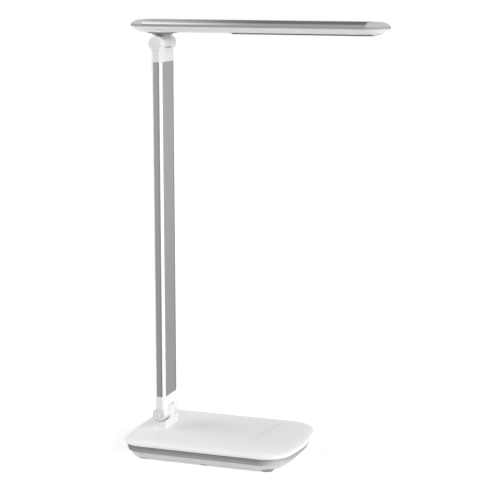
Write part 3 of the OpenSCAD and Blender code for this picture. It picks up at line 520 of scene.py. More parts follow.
def pan_screw(name, head_r, head_h, shank_r, length):
    """One screw, head down, with a cross in its head and a threaded shank."""
    turns = max(3, int(length / 0.5))
    thread = []
    for i in range(turns):
        z = 0.3 + (length - 0.8) * i / turns
        thread += [(shank_r * 0.97, z), (shank_r, z + 0.12), (shank_r, z + 0.2),
                   (shank_r * 0.82, z + 0.34)]
    profile = [(0, -head_h), (head_r * 0.55, -head_h), (head_r * 0.85, -head_h * 0.86),
               (head_r * 0.97, -head_h * 0.6), (head_r, -head_h * 0.35), (head_r, 0),
               (shank_r * 0.97, 0)] + thread + [(shank_r * 0.5, length), (0, length)]
    screw = lathe(name, profile, 32)
    slot = head_r * 0.17
    for a, b in ((head_r * 0.55, slot), (slot, head_r * 0.55)):
        carve(screw, block("driver", (-a, -b, -head_h - 1), (a, b, -head_h * 0.45)))
    return shade(screw, 40)


def screw_set(name, body, node, screw, columns, rows, pitch, middle, turn=(0, 0, 0)):
    """Equal screws in a grid, dressed and mounted in place of a CAD node."""
    laid_out(screw, grid_tree, columns=columns, rows=rows, column_pitch=pitch[0] * MM,
             row_pitch=pitch[1] * MM, turn=turn, middle=[v * MM for v in middle],
             finish=plated_steel)
    screw.name = name
    shade(screw, 40)
    fit(screw, body, "screw_steel", plated_steel, node)


FOOT_PITCH = (60, 92)
screw_set("shell_screws", "base", "base_screws",
          pan_screw("shell_screw", 2.9, 2.2, 1.5, 9.6), 3, 2, FOOT_PITCH, (0, 0, 4.0))
screw_set("plate_screws", "base", "weight_screws",
          pan_screw("plate_screw", 4.0, 1.6, 1.5, 5.6), 2, 2, (60, 60), (6, 0, 8.7),
          (pi, 0, 0))
screw_set("small_board_screws", "base", "board_screws",
          pan_screw("small_board_screw", 2.4, 1.4, 1.2, 3.0), 2, 2, (22, 56), (54, 0, 13.3))


# ---- Rubber feet ----
# Six soft round pads pressed into shallow pockets under the shell. Each has a
# rounded rim and a slight hollow, so that it grips the table.

rubber, tree, shader = new_finish("foot_rubber")
tree.links.new(mixed(tree, speckle(tree, 300), (0.27, 0.27, 0.27), (0.33, 0.33, 0.33)),
               shader.inputs["Base Color"])
raised(tree, shader, speckle(tree, 3200, 2), 0.04)
shader.inputs["Roughness"].default_value = 0.78

feet = lathe("rubber_feet_set", [
    (0, 0.25), (3.9, 0.25), (4.3, 0.2), (4.6, 0.04), (4.9, 0), (5.5, 0), (5.8, 0.08), (5.97, 0.3),
    (6.0, 0.55), (6.0, 1.7), (0, 1.7)], 64)
laid_out(feet, grid_tree, columns=3, rows=2, column_pitch=FOOT_PITCH[0] * MM,
         row_pitch=FOOT_PITCH[1] * MM, turn=(0, 0, 0), middle=(0, 0, 0), finish=rubber)
shade(feet, 50)
fit(feet, "base", "foot_rubber", rubber, "rubber_feet")


# ---- Silver trim band ----
# A thin satin strip bent round the shell's wall, under the lip of the cover.
# It is swept along the base's outline, and drilled at the rear for the plug.

def drafted_strip():
    """The node tree that sweeps a strip along an outline and draws its lower edge in."""
    tree, given, out = layout_tree("drafted_strip", (
        ("Thickness", "Float"), ("Top", "Float"), ("Bottom", "Float"), ("Edge", "Float")))
    path = chained(tree, given["Piece"], ("GeometryNodeMeshToCurve", {}),
                   ("GeometryNodeSetCurveNormal", {}))
    path.node.mode = "Z_UP"
    section = tree.nodes.new("GeometryNodeCurvePrimitiveQuadrilateral")
    tree.links.new(given["Thickness"], section.inputs["Width"])
    tree.links.new(worked_out(tree, given["Top"], ("SUBTRACT", given["Bottom"])),
                   section.inputs["Height"])
    rounded = chained(tree, section.outputs["Curve"],
                      ("GeometryNodeFilletCurve", {"Radius": given["Edge"]}))
    rounded.node.mode = "POLY"
    rounded.node.inputs["Count"].default_value = 4
    where = tree.nodes.new("GeometryNodeInputPosition")
    parts = tree.nodes.new("ShaderNodeSeparateXYZ")
    tree.links.new(where.outputs["Position"], parts.inputs[0])
    down = tree.nodes.new("ShaderNodeMapRange")
    for name, value in (("Value", parts.outputs["Z"]), ("From Min", given["Top"]),
                        ("From Max", given["Bottom"])):
        tree.links.new(value, down.inputs[name])
    draft = tree.nodes.new("GeometryNodeInputNamedAttribute")
    draft.data_type = "FLOAT_VECTOR"
    draft.inputs["Name"].default_value = "draft"
    pull = tree.nodes.new("ShaderNodeVectorMath")
    pull.operation = "SCALE"
    tree.links.new(draft.outputs["Attribute"], pull.inputs[0])
    tree.links.new(down.outputs[0], pull.inputs["Scale"])
    strip = chained(tree, path, ("GeometryNodeCurveToMesh", {"Profile Curve": rounded}),
                    ("GeometryNodeSetPosition", {"Offset": pull.outputs[0]}),
                    ("GeometryNodeRealizeInstances", {}),
                    ("GeometryNodeSetMaterial", {"Material": given["Finish"]}))
    tree.links.new(strip, out.inputs["Result"])
    return tree


def satin(name, colour, rough, grain, depth=0.006):
    """Anodised or lacquered silver with fine brushing along the piece."""
    material, tree, shader = new_finish(name)
    lines = speckle(tree, 700, 4, grain)
    cloud = speckle(tree, 26, 2)
    darker = tuple(c * 0.93 for c in colour)
    tree.links.new(mixed(tree, lines, darker, colour), shader.inputs["Base Color"])
    tree.links.new(wander(tree, cloud, rough * 0.92, rough * 1.08), shader.inputs["Roughness"])
    raised(tree, shader, lines, depth)
    shader.inputs["Metallic"].default_value = 1
    shader.inputs["Specular Tint"].default_value = (0.6, 0.6, 0.6, 1)
    return material


BAND_LOW, BAND_HIGH, BAND_T, BAND_DRAFT = 6.8, 12.3, 1.1, 1.8
BAND_END_IN, BAND_SIDE_IN = 2.2, 0.9


def along(tree):
    """The X, Y and Z of a place on the piece, in metres."""
    place = tree.nodes.new("ShaderNodeTexCoord")
    split = tree.nodes.new("ShaderNodeSeparateXYZ")
    tree.links.new(place.outputs["Object"], split.inputs[0])
    return split.outputs


def toned(tree, tone):
    """Multiplies a finish's colour by a tone."""
    colour = tree.nodes["Principled BSDF"].inputs["Base Color"]
    scaled = tree.nodes.new("ShaderNodeVectorMath")
    scaled.operation = "SCALE"
    tree.links.new(colour.links[0].from_socket, scaled.inputs[0])
    tree.links.new(tone, scaled.inputs["Scale"])
    tree.links.new(scaled.outputs[0], colour)


def graded(material, low, high, start, end, axis="Z"):
    """Paints light or shade into a finish: its tone runs from one number to another between two
    places along an axis.
    """
    tree = material.node_tree
    toned(tree, ranged(tree, along(tree)[axis], low * MM, high * MM, start, end))


band_silver = satin("band_silver", (0.4, 0.405, 0.39), 0.42, (1, 1, 12))
# Painted shade: the band is darker at its top, under the cover's lip.
graded(band_silver, BAND_HIGH, BAND_LOW, 0.5, 0.78)
# Painted highlight: the band grows lighter towards its front end.
graded(band_silver, 52, 76, 1.0, 2.4, "X")
band_mid = (BAND_LOW + BAND_HIGH) / 2
end_in, side_in = BAND_END_IN + BAND_T / 2, BAND_SIDE_IN + BAND_T / 2
top_path = level(base_outline(end_in, side_in), band_mid)
low_path = level(base_outline(end_in + BAND_DRAFT, side_in), band_mid)
outline_mesh = bpy.data.meshes.new("trim_band")
ring = [(i, (i + 1) % len(top_path)) for i in range(len(top_path))]
outline_mesh.from_pydata(top_path, ring, [])
draft = outline_mesh.attributes.new("draft", "FLOAT_VECTOR", "POINT")
for i, (top, low) in enumerate(zip(top_path, low_path)):
    draft.data[i].vector = low - top
band = new_piece("trim_band", outline_mesh)
laid_out(band, drafted_strip(), thickness=BAND_T * MM, top=BAND_HIGH * MM,
         bottom=BAND_LOW * MM, edge=0.35 * MM, finish=band_silver)
carve(band, rod("inlet_hole", INLET_R, 12, "X", (-82, 0, INLET_Z)))
shade(band)
fit(band, "base", "band_silver", band_silver, "base_trim_band")


# ---- Top cover ----
# One white moulding with a soft pillow dome, a lip that rolls over the band,
# and a shallow level area at the front for the touch controls.

LIP_Z, WIDEST_Z, DOME_H, MARGIN = 12.5, 14.6, 4.6, 26
CROWN_Z = WIDEST_Z + DOME_H
TOUCH_DEPTH, TOUCH_X, TOUCH_SLANT, TOUCH_EDGE = 0.3, 42, 0.04, 4
TOUCH_Y, TOUCH_HALF, TOUCH_CORNER = 4, 34, 16
TOP_RINGS, DOME_RINGS, LIP_RINGS, AROUND = 100, 44, 7, 32

cover_white = moulded("cover_white", (0.91, 0.91, 0.9), 0.36, coat=0.1)


def painted_shade_line(material, x, slope, bend_from, bend, middle, half_long, half_wide, depth):
    """A faint painted shade across the cover near the touch area's rear edge, which runs straight
    and then bends forwards.
    """
    tree = material.node_tree
    place = along(tree)
    y = worked_out(tree, place["Y"], ("DIVIDE", MM))
    bent = worked_out(tree, y, ("SUBTRACT", bend_from), ("MAXIMUM", 0), ("POWER", 2),
                      ("MULTIPLY", bend))
    path = worked_out(tree, y, ("MULTIPLY", slope), ("ADD", x), ("ADD", bent))
    aside = worked_out(tree, place["X"], ("DIVIDE", MM), ("SUBTRACT", path), ("ABSOLUTE", 0))
    beyond = worked_out(tree, y, ("SUBTRACT", middle), ("ABSOLUTE", 0))
    across = ranged(tree, aside, 0, half_wide, depth, 0)
    ends = ranged(tree, beyond, half_long - 2, half_long + 2, 1, 0)
    toned(tree, worked_out(tree, across, ("MULTIPLY", ends), ("MULTIPLY", -1), ("ADD", 1)))


# Painted shade: a soft darker line on the cover near the touch area's rear edge.
painted_shade_line(cover_white, x=41.2, slope=0.065, bend_from=14, bend=0.0125, middle=5.7, half_long=32.7,
          half_wide=4.5, depth=0.075)


def dome_height(inset):
    """How far the cover has risen at a distance in from its widest outline."""
    return DOME_H * (1 - (1 - inset / MARGIN) ** 3) ** 0.44


def smooth_step(t):
    t = min(1, max(0, t))
    return t * t * (3 - 2 * t)


def touch_reach(x, y):
    """How many millimetres a point lies inside the edge of the touch area."""
    inside_x, inside_y = x - TOUCH_X - TOUCH_SLANT * y, TOUCH_HALF - abs(y - TOUCH_Y)
    if inside_x < TOUCH_CORNER and inside_y < TOUCH_CORNER:
        return TOUCH_CORNER - hypot(TOUCH_CORNER - inside_x, TOUCH_CORNER - inside_y)
    return min(inside_x, inside_y)


def cover_point(x, y, z):
    """A point of the cover's skin, with the touch area sunk in."""
    level_z = CROWN_Z - TOUCH_DEPTH
    reach = touch_reach(x, y)
    if z > level_z:
        z -= (z - level_z) * smooth_step(reach / TOUCH_EDGE + 0.5)
    return Vector((x, y, z)) * MM


cover_rings = []
for i in range(1, TOP_RINGS + 1):
    scale = 0.015 + 0.985 * i / TOP_RINGS
    cover_rings.append([cover_point(x * scale, y * scale, CROWN_Z)
                        for x, y in base_outline(MARGIN, MARGIN, AROUND)])
for i in range(DOME_RINGS - 1, -1, -1):
    inset = MARGIN * (i / DOME_RINGS) ** 2
    cover_rings.append([cover_point(x, y, WIDEST_Z + dome_height(inset))
                        for x, y in base_outline(inset, inset, AROUND)])
for i in range(1, LIP_RINGS):
    roll = (i / LIP_RINGS) ** 2
    cover_rings.append(level(base_outline(1.5 * roll, 0.6 * roll, AROUND),
                             WIDEST_Z - (WIDEST_Z - LIP_Z) * i / LIP_RINGS))
for z, end_in, side_in in ((12.62, 1.4, 0.55), (12.52, 1.55, 0.68), (LIP_Z, 1.7, 0.85),
                           (LIP_Z, 4.2, 3.0), (12.7, 4.4, 3.2), (14.2, 4.6, 3.4),
                           (15.6, 6.4, 5.2), (16.5, 12, 11), (17.0, 26, 26)):
    cover_rings.append(level(base_outline(end_in, side_in, AROUND), z))
cover = loft("top_cover", cover_rings)
shade(cover, 50)
fit(cover, "base", "cover_white", cover_white, "base_top_cover")


# ---- Hinge bracket ----
# A white moulded block in a pocket of the cover, held by two screws from below.
# It has a saddle under each ear of the arm and a round tongue between them.

HINGE_X, LOWER_Z, UPPER_Z = -57.5, 33, 383
EAR_R, PIN_R, THROUGH = 6.4, 2.55, 60

hinge_white = moulded("hinge_white", (0.79, 0.79, 0.78), 0.33)


def round_corners(length, width, r, steps=8):
    """A rectangle about the origin with round corners."""
    x, y = length / 2 - r, width / 2 - r
    return (arc(x, y, r, 0, pi / 2, steps) + [(x, y + r)]
            + arc(-x, y, r, pi / 2, pi, steps) + [(-x - r, y)]
            + arc(-x, -y, r, pi, 3 * pi / 2, steps) + [(-x, -y - r)]
            + arc(x, -y, r, 3 * pi / 2, 2 * pi, steps) + [(x + r, -y)])


BRACKET_LOW, SHOULDER_Z, SADDLE_R = 18.6, 27.0, 8.2
TONGUE_HALF = 6
bracket = prism("hinge_bracket_block", round_corners(13, 31, 1.6), SHOULDER_Z - BRACKET_LOW, "Z",
                (HINGE_X, 0, (SHOULDER_Z + BRACKET_LOW) / 2))
carve(bracket, rod("saddle", SADDLE_R, THROUGH, "Y", (HINGE_X, 0, LOWER_Z), 128))
tongue = block("tongue", (HINGE_X - 6.2, -TONGUE_HALF, BRACKET_LOW + 0.1),
               (HINGE_X + 6.2, TONGUE_HALF, LOWER_Z))
carve(tongue, rod("tongue_round", EAR_R, 2 * TONGUE_HALF, "Y", (HINGE_X, 0, LOWER_Z), 128),
      "UNION")
carve(bracket, tongue, "UNION")
carve(bracket, rod("pin_bore", PIN_R, THROUGH, "Y", (HINGE_X, 0, LOWER_Z)))
round_edges(bracket, 0.35)
shade(bracket, 32)
fit(bracket, "base", "hinge_white", hinge_white, "hinge_bracket")


# ---- Pivot caps ----
# Snap-in white discs that hide the bolt head and the nut at both ends of each
# hinge. The lower pair has a raised rim, and the upper pair is almost plain.

CAP_SEAT = 17


def pivot_caps(name, z, rim, nodes):
    """Both caps of one hinge, turned from the same section."""
    if rim:
        face = [(0, 1.5), (2.0, 1.5), (2.4, 1.42), (2.65, 0.7), (3.0, 0.55), (3.6, 0.55),
                (3.85, 0.7), (4.1, 1.8), (4.3, 1.97), (4.9, 2.0), (5.2, 1.93), (5.3, 1.8),
                (5.35, 1.0), (5.75, 1.0), (5.8, 1.7)]
    else:
        face = [(0, 2.0), (3.0, 1.98), (4.8, 1.9), (5.3, 1.84), (5.8, 1.8)]
    profile = [(0, -0.8), (4.4, -0.8), (4.4, 0), (EAR_R, 0.04), (EAR_R, 1.1), (6.33, 1.4),
               (6.2, 1.6), (6.0, 1.72)]
    profile += reversed(face)
    caps = lathe(name, profile, 96, "Y", (HINGE_X, CAP_SEAT, z))
    near = lathe("near", [(r, -h) for r, h in profile], 96, "Y", (HINGE_X, -CAP_SEAT, z))
    carve(caps, near, "UNION")
    shade(caps, 60)
    fit(caps, "arm", "hinge_white", hinge_white, nodes)


pivot_caps("lower_caps", LOWER_Z, True, "lower_pivot_caps")
pivot_caps("upper_caps", UPPER_Z, False, "upper_pivot_caps")


# ---- Arm end pieces ----
# White mouldings with two round ears each. A spigot slides into the tube and is
# held by two screws, and the slot between the ears takes the other half.

ARM_T, ARM_W, CHAMFER = 10.8, 32, 2.4
JOINT, SLOT_HALF, EAR_SPAN = 17, 6.6, 34
BOLT_SEAT, NUT_SEAT, SEAT_R = -12.9, 12.7, 4.6
SPIGOT_LEN, LEAD_WAY_R = 18, 2.1


def arm_section(grow=0.0, corner=0.35, steps=4):
    """The arm's chamfered section, with each corner eased."""
    t, w, c = ARM_T / 2 + grow, ARM_W / 2 + grow, CHAMFER
    corners = [(t, w - c), (t - c, w), (c - t, w), (-t, w - c),
               (-t, c - w), (c - t, -w), (t - c, -w), (t, c - w)]
    points = []
    for i, here in enumerate(corners):
        here = Vector(here)
        back = (Vector(corners[i - 1]) - here).normalized()
        ahead = (Vector(corners[(i + 1) % 8]) - here).normalized()
        start, end = here + back * corner, here + ahead * corner
        for k in range(steps + 1):
            s = k / steps
            p = start * (1 - s) ** 2 + here * 2 * s * (1 - s) + end * s ** 2
            points.append((p.x, p.y))
    return points


def arm_end(name, z, up, slot_reach, dish, nodes):
    """One end piece about its hinge axis. up is 1 for the lower end and -1 for the upper.

    The slot reaches to a level floor, or to one dished by a radius.
    """
    ears = rod("ears", EAR_R, EAR_SPAN, "Y", sides=128)
    carve(ears, prism("shank", arm_section(), JOINT, "Z", (0, 0, JOINT / 2)), "UNION")
    carve(ears, block("slot", (-20, -SLOT_HALF, -20), (20, SLOT_HALF, 0 if dish else slot_reach)))
    if dish:
        carve(ears, rod("floor", dish, 2 * SLOT_HALF, "Y", (0, 0, slot_reach - dish), 128))
    carve(ears, rod("pin_bore", PIN_R, THROUGH, "Y"))
    for low, high in ((-40, BOLT_SEAT), (NUT_SEAT, 40)):
        carve(ears, rod("seat", SEAT_R, high - low, "Y", (0, (low + high) / 2, 0)))
    carve(ears, rod("lead_way", LEAD_WAY_R, 30, "Z", (0, 0, 14), 48))
    round_edges(ears, 0.3, 3, 30)
    spigot = prism("spigot", round_corners(6.6, 27.8, 1), SPIGOT_LEN, "Z",
                   (0, 0, JOINT + SPIGOT_LEN / 2))
    carve(spigot, rod("lead_way", LEAD_WAY_R, THROUGH, "Z", (0, 0, 20), 48))
    carve(ears, spigot, "UNION")
    ears.data.transform(Matrix.Translation(Vector((HINGE_X, 0, z)) * MM)
                        @ Matrix.Rotation(0 if up > 0 else pi, 4, "X"))
    ears.name = name
    shade(ears, 32)
    fit(ears, "arm", "hinge_white", hinge_white, nodes)


arm_end("arm_foot_piece", LOWER_Z, 1, 7.3, 0, "arm_lower_end")
arm_end("arm_head_piece", UPPER_Z, -1, 6.6, 9, "arm_upper_end")


# ---- Arm tube and its silver trims ----
# A white extruded tube with chamfered corners. Satin silver strips lie in a
# shallow recess on each of its four faces, and the lead runs up its middle.

arm_white = moulded("arm_white", (0.9, 0.9, 0.89), 0.22, coat=0.3)
arm_silver = satin("arm_silver", (0.42, 0.425, 0.41), 0.38, (12, 12, 0.4))
# Painted shade: the broad trims are darker towards the bottom of the arm.
graded(arm_silver, 60, 360, 0.86, 1.06)
# Painted shade: the broad trims darken along their edge on the +Y side.
graded(arm_silver, 9, 13.5, 1.0, 0.7, "Y")
# Painted shade: the narrow trims use a darker copy of the arm's silver, darker still towards their
# +X edge and towards the bottom of the arm.
edge_silver = satin("edge_silver", (0.28, 0.285, 0.27), 0.38, (12, 12, 0.4))
graded(edge_silver, HINGE_X + 0.5, HINGE_X + 2.9, 1.0, 0.75, "X")
graded(edge_silver, 60, 360, 1.0, 1.25)
lead_black = moulded("lead_black", (0.03, 0.03, 0.03), 0.5)
dress(lead_black, "arm_lead")

TUBE_LOW, TUBE_HIGH = LOWER_Z + JOINT, UPPER_Z - JOINT
TRIM_T, BROAD_W, EDGE_W, TRIM_GAP = 0.5, 27.0, 5.8, 0.1
tube_mid, tube_len = (TUBE_LOW + TUBE_HIGH) / 2, TUBE_HIGH - TUBE_LOW
tube = prism("arm_tube_white", arm_section(), tube_len, "Z", (HINGE_X, 0, tube_mid))
carve(tube, prism("hollow", round_corners(6.8, 28, 1), tube_len + 2, "Z", (HINGE_X, 0, tube_mid)))
for side in (-1, 1):
    x, y = HINGE_X + side * ARM_T / 2, side * ARM_W / 2
    broad, narrow = BROAD_W / 2 + TRIM_GAP, EDGE_W / 2 + TRIM_GAP
    carve(tube, block("recess", (x - TRIM_T, -broad, 0), (x + TRIM_T, broad, UPPER_Z)))
    carve(tube, block("recess", (HINGE_X - narrow, y - TRIM_T, 0),
                      (HINGE_X + narrow, y + TRIM_T, UPPER_Z)))
shade(tube, 32)
fit(tube, "arm", "arm_white", arm_white, "arm_tube")


def crowned(width, thick, crown, edge=0.22, steps=10):
    """Section of a strip whose face bulges slightly between its eased edges."""
    half = width / 2
    points = [(-half, 0), (half, 0), (half, thick - crown - edge)]
    for i in range(steps + 1):
        s = 1 - 2 * i / steps
        points.append((s * (half - edge), thick - crown * s * s))
    return points + [(-half, thick - crown - edge)]


def trim_pair(name, width, nodes, across, at, finish):
    """Two equal strips on opposite faces of the arm."""
    pair = []
    for side in (-1, 1):
        outline = crowned(width, TRIM_T - 0.02, 0.12)
        if across == "X":
            outline = [(side * (at - TRIM_T + h), w) for w, h in outline]
        else:
            outline = [(w, side * (at - TRIM_T + h)) for w, h in outline]
        pair.append(prism(name, outline, tube_len, "Z", (HINGE_X, 0, tube_mid)))
    carve(pair[0], pair[1], "UNION")
    pair[0].name = name
    shade(pair[0], 40)
    fit(pair[0], "arm", "arm_silver", finish, nodes)


trim_pair("broad_trims", BROAD_W, "arm_broad_trims", "X", ARM_T / 2, arm_silver)
trim_pair("edge_trims", EDGE_W, "arm_edge_trims", "Y", ARM_W / 2, edge_silver)


# ---- Neck and swivel ----
# A white moulding with a barrel between the upper ears and a dish that flares
# out under the head. A hollow stud, a wave washer and a nut let the head turn.

FLARE_Z, NECK_TOP, FLARE_R = UPPER_Z + 6.8, UPPER_Z + 9.4, 13.8
FLARE_EASE, STUD_R, BARREL_HALF = 0.12, 4.05, 6
flare = [(0, FLARE_Z)]
for i in range(25):
    a = pi / 2 * i / 24
    flare.append((FLARE_R - FLARE_EASE - 5.1 * cos(a), FLARE_Z + 2.2 * sin(a)))
flare += [(FLARE_R, NECK_TOP - 0.3), (FLARE_R, NECK_TOP - FLARE_EASE),
          (FLARE_R - FLARE_EASE, NECK_TOP), (0, NECK_TOP)]
neck = lathe("neck_piece", flare, 128, "Z", (HINGE_X, 0, 0))
stem = prism("stem", round_corners(9, 2 * BARREL_HALF, 1.2), 7.2, "Z",
             (HINGE_X, 0, UPPER_Z + 3.4))
carve(stem, rod("barrel", EAR_R, 2 * BARREL_HALF, "Y", (HINGE_X, 0, UPPER_Z), 128), "UNION")
carve(neck, stem, "UNION")
carve(neck, rod("pin_bore", PIN_R, 40, "Y", (HINGE_X, 0, UPPER_Z)))
carve(neck, rod("stud_bore", STUD_R, 10, "Z", (HINGE_X, 0, UPPER_Z + 8.25)))
shade(neck, 32)
# Painted shade: the neck's white darkens upwards into the dish under the head.
neck_grey = moulded("neck_grey", (0.74, 0.74, 0.73), 0.36)
graded(neck_grey, UPPER_Z + 3.5, UPPER_Z + 7, 1.0, 0.45)
fit(neck, "neck", "hinge_white", neck_grey, "head_neck")

washer_nylon = moulded("washer_nylon", (0.82, 0.8, 0.74), 0.5)
dress(washer_nylon, "swivel_slip_washer")


# ---- Head bottom housing ----
# The white lower half of the head, a long moulding with round ends that curves
# in to a flat underside, with an opening for the light panel.

SEAM_Z, HEAD_R = 398.3, 20
REAR_X, FRONT_X = -67, 137
LOWER_H, FLAT = 5.4, 9
POST_X, POST_Y = (-74, 148), 8

head_white = moulded("head_white", (0.95, 0.95, 0.94), 0.32, coat=0.1)


def stadium(r, steps=48, sides=60):
    """The head from above in millimetres, with its ends of radius r."""
    points = arc(FRONT_X, 0, r, -pi / 2, pi / 2, steps)
    points += [(FRONT_X + (REAR_X - FRONT_X) * i / sides, r) for i in range(sides)]
    points += arc(REAR_X, 0, r, pi / 2, 3 * pi / 2, steps)
    points += [(REAR_X + (FRONT_X - REAR_X) * i / sides, -r) for i in range(sides)]
    return points


def belly_ring(r, radius, depth):
    """The underside at an outline of radius r, as it curves in from a full radius."""
    drop = 0 if r <= FLAT else 1 - ((r - FLAT) / (radius - FLAT)) ** 2
    return level(stadium(r), SEAM_Z - (depth if r <= FLAT else depth * drop))


belly_radii = (4, 9, 9.8, 10.8, 12, 13.2, 14.4, 15.5, 16.5, 17.4, 18.2, 18.9, 19.4, 19.75)
housing_rings = [belly_ring(r, HEAD_R, LOWER_H) for r in belly_radii]
housing_rings += [level(stadium(HEAD_R - r), SEAM_Z - z)
                  for r, z in ((0.05, 0.22), (0, 0.1), (0.03, 0), (1.5, 0))]
housing_rings += [belly_ring(r, 18.4, LOWER_H - 2) for r in (18.2, 17.6, 16.6, 15, 13, 11, 9, 4)]
housing = loft("head_housing", housing_rings)
carve(housing, rod("pad", 14.5, 2, "Z", (HINGE_X, 0, SEAM_Z - LOWER_H + 1), 128), "UNION")
carve(housing, rod("stud_hole", STUD_R, 20, "Z", (HINGE_X, 0, SEAM_Z - 6)))
carve(housing, block("panel_opening", (14.5, -10.7, 380), (142.5, 10.7, SEAM_Z)))
for x in POST_X:
    for y in (-POST_Y, POST_Y):
        post = rod("screw_post", 3.2, 2.1, "Z", (x, y, SEAM_Z - 2.25), 48)
        carve(housing, post, "UNION")
        carve(housing, rod("counterbore", 2.4, 8, "Z", (x, y, SEAM_Z - 6.4), 48))
        carve(housing, rod("screw_hole", 1.4, 12, "Z", (x, y, SEAM_Z - 3), 48))
shade(housing, 32)
fit(housing, "head", "head_white", head_white, "head_bottom_housing")

screw_set("end_cap_screws", "head", "head_screws",
          pan_screw("end_cap_screw", 2.3, 1.4, 1.2, 5.4), 2, 2,
          (POST_X[1] - POST_X[0], 2 * POST_Y), (sum(POST_X) / 2, 0, SEAM_Z - 2.4))


# ---- Light panel ----
# A grey frame clips into the opening and carries an opal diffuser. Behind it a
# white reflector and a board with two rows of light chips are screwed to the
# aluminium above.

PANEL_X, PANEL_LEN, PANEL_WID = 78.5, 130, 23.4
BEZEL_LOW = SEAM_Z - LOWER_H - 0.7

bezel_grey = moulded("bezel_grey", (0.15, 0.15, 0.155), 0.4)
bezel = prism("bezel_frame", round_corners(PANEL_LEN, PANEL_WID, 2), 0.7, "Z",
              (PANEL_X, 0, BEZEL_LOW + 0.35))
carve(bezel, block("sleeve", (PANEL_X - 63.9, -10.6, BEZEL_LOW + 0.5),
                   (PANEL_X + 63.9, 10.6, SEAM_Z - 2.2)), "UNION")
carve(bezel, block("seat", (PANEL_X - 62.7, -9.4, SEAM_Z - LOWER_H), (PANEL_X + 62.7, 9.4, SEAM_Z)))
carve(bezel, prism("window", round_corners(123.2, 16.6, 1), 20, "Z", (PANEL_X, 0, BEZEL_LOW)))
round_edges(bezel, 0.18, 3, 30)
shade(bezel, 32)
fit(bezel, "head", "bezel_grey", bezel_grey, "panel_bezel")

opal, tree, shader = new_finish("diffuser_opal")
tree.links.new(mixed(tree, speckle(tree, 60), (0.8, 0.8, 0.78), (0.86, 0.86, 0.84)),
               shader.inputs["Base Color"])
raised(tree, shader, speckle(tree, 1500, 1), 0.03)
shader.inputs["Roughness"].default_value = 0.55
shader.inputs["Subsurface Weight"].default_value = 0.2
shader.inputs["Subsurface Radius"].default_value = (2 * MM, 2 * MM, 2 * MM)
reflector_white = moulded("reflector_white", (0.9, 0.9, 0.9), 0.5)
board_white = moulded("board_white", (0.84, 0.84, 0.82), 0.4)
dress(opal, "diffuser")
dress(reflector_white, "reflector")
dress(board_white, "led_board")

phosphor, tree, shader = new_finish("led_phosphor")
tree.links.new(mixed(tree, speckle(tree, 500), (0.85, 0.62, 0.12), (0.9, 0.72, 0.2)),
               shader.inputs["Base Color"])
raised(tree, shader, speckle(tree, 3000), 0.02)
shader.inputs["Roughness"].default_value = 0.45
chip = block("light_chips", (-1.75, -1.4, -0.8), (1.75, 1.4, 0))
carve(chip, rod("phosphor_dish", 1.1, 0.3, "Z", (0, 0, -0.8), 24))
round_edges(chip, 0.12, 2, 50)
laid_out(chip, grid_tree, columns=12, rows=2, column_pitch=104 / 11 * MM, row_pitch=7 * MM,
         turn=(0, 0, 0), middle=(PANEL_X * MM, 0, (SEAM_Z + 0.4) * MM), finish=phosphor)
shade(chip, 40)
fit(chip, "head", "led_yellow", phosphor, "led_chips")
dress(plated_steel, "led_board_screws")


# ---- Aluminium top profile ----
# The upper half of the head is an extrusion with an upright edge, a sloping
# shoulder and a brushed crown. It also carries the heat away. Its colour is
# painted in bands by height: the shoulder lighter as a painted highlight and the
# crown darker as painted shade, both fading from rear to front as a painted reflection.

head_aluminium, tree, shader = new_finish("head_aluminium")
on_head = along(tree)
brush = speckle(tree, 700, 4, (0.4, 12, 12))
# Painted highlight and shade: tone bands by height that fade from rear to front as a painted
# reflection.
forward = ranged(tree, on_head["X"], -75 * MM, 55 * MM, 0, 1)
tone = mixed(tree, forward, (0.31, 0.315, 0.3), (0.32, 0.325, 0.31))
for height, at_rear, at_front in ((2.2, (0.86, 0.865, 0.85), (0.36, 0.365, 0.35)),
                                  (3.75, (0.55, 0.555, 0.54), (0.2, 0.2, 0.195))):
    above = ranged(tree, on_head["Z"], (SEAM_Z + height - 0.12) * MM,
                   (SEAM_Z + height + 0.12) * MM, 0, 1, "LINEAR")
    tone = mixed(tree, above, tone, mixed(tree, forward, at_rear, at_front))
tree.links.new(tone, shader.inputs["Base Color"])
toned(tree, wander(tree, brush, 0.94, 1.04))
raised(tree, shader, brush, 0.006)
shader.inputs["Metallic"].default_value = 1.0
shader.inputs["Roughness"].default_value = 0.4
shader.inputs["Specular Tint"].default_value = (0.4, 0.4, 0.4, 1)

UPPER_HALF = [(20, 0.0), (20, 1.85), (19.88, 2.1), (19.6, 2.34), (18.1, 3.52), (17.7, 3.8),
              (17.2, 4.1), (16.0, 4.72), (14.0, 5.33), (12.4, 5.6), (9.0, 5.84), (5.0, 5.9)]
REACH = 2.5


def across_section(half):
    """Both halves of a section that was given for one side."""
    return half + [(-y, z) for y, z in reversed(half)]


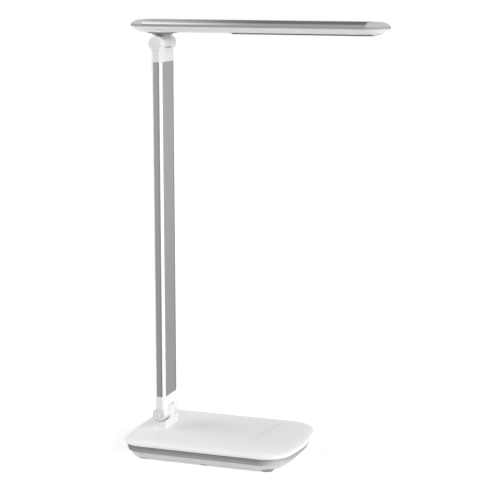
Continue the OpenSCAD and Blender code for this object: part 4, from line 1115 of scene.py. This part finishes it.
def crown_piece(name, low_x, high_x):
    """The part of the hollow upper half that lies between two places along the head."""
    skin = loft(name, [level(stadium(r), SEAM_Z + z) for r, z in UPPER_HALF])
    lining = [(18.6, -1)] + [(r * 0.93, max(z - 1.4, 0)) for r, z in UPPER_HALF[1:]]
    carve(skin, loft("lining", [level(stadium(r), SEAM_Z + z) for r, z in lining]))
    span = block("span", (low_x, -30, SEAM_Z - 5), (high_x, 30, SEAM_Z + 9))
    return carve(skin, span, "INTERSECT")


profile = crown_piece("top_profile", REAR_X - REACH, FRONT_X + REACH)
for side in (-1, 1):
    carve(profile, block("rib", (15.5, side * 6.6 - 1.5, SEAM_Z + 1.65),
                         (130, side * 6.6 + 1.5, SEAM_Z + 4.9)), "UNION")
shade(profile, 20)
fit(profile, "head", "head_aluminium", head_aluminium, "head_top_profile")


# ---- End caps of the head ----
# Two silver-lacquered mouldings that close the profile with round ends. Spigots
# hold them inside it, and screws from below pull them onto the housing.

cap_silver = satin("cap_silver", (0.52, 0.525, 0.51), 0.55, (1, 1, 1), depth=0.003)
cap_silver.node_tree.nodes["Principled BSDF"].inputs["Metallic"].default_value = 0.55
# Painted shade: the caps are darker below their shoulder, carrying the head's dark edge band round
# its ends.
graded(cap_silver, SEAM_Z + 1.7, SEAM_Z + 2.6, 0.75, 1.1)


def end_cap(name, x, facing, nodes):
    """A round end outside the profile, with its spigot inside it."""
    edge = x + facing * REACH
    cap = crown_piece(name, *sorted((edge, x + facing * 40)))
    outer = [(18.3, 0)] + [(y * 0.915, max(z - 1.5, 0.4)) for y, z in UPPER_HALF[1:]]
    inner = [(17.1, -1)] + [(y * 0.855, max(z - 2.7, 0.2)) for y, z in UPPER_HALF[1:]]
    spigot = prism("spigot", across_section(outer), 12, "X", (x, 0, SEAM_Z))
    carve(spigot, prism("core", across_section(inner), 20, "X", (x, 0, SEAM_Z)))
    carve(cap, spigot, "UNION")
    shade(cap, 30)
    fit(cap, "head", "cap_silver", cap_silver, nodes)


end_cap("rear_end_cap", REAR_X, -1, "head_rear_cap")
end_cap("front_end_cap", FRONT_X, 1, "head_front_cap")
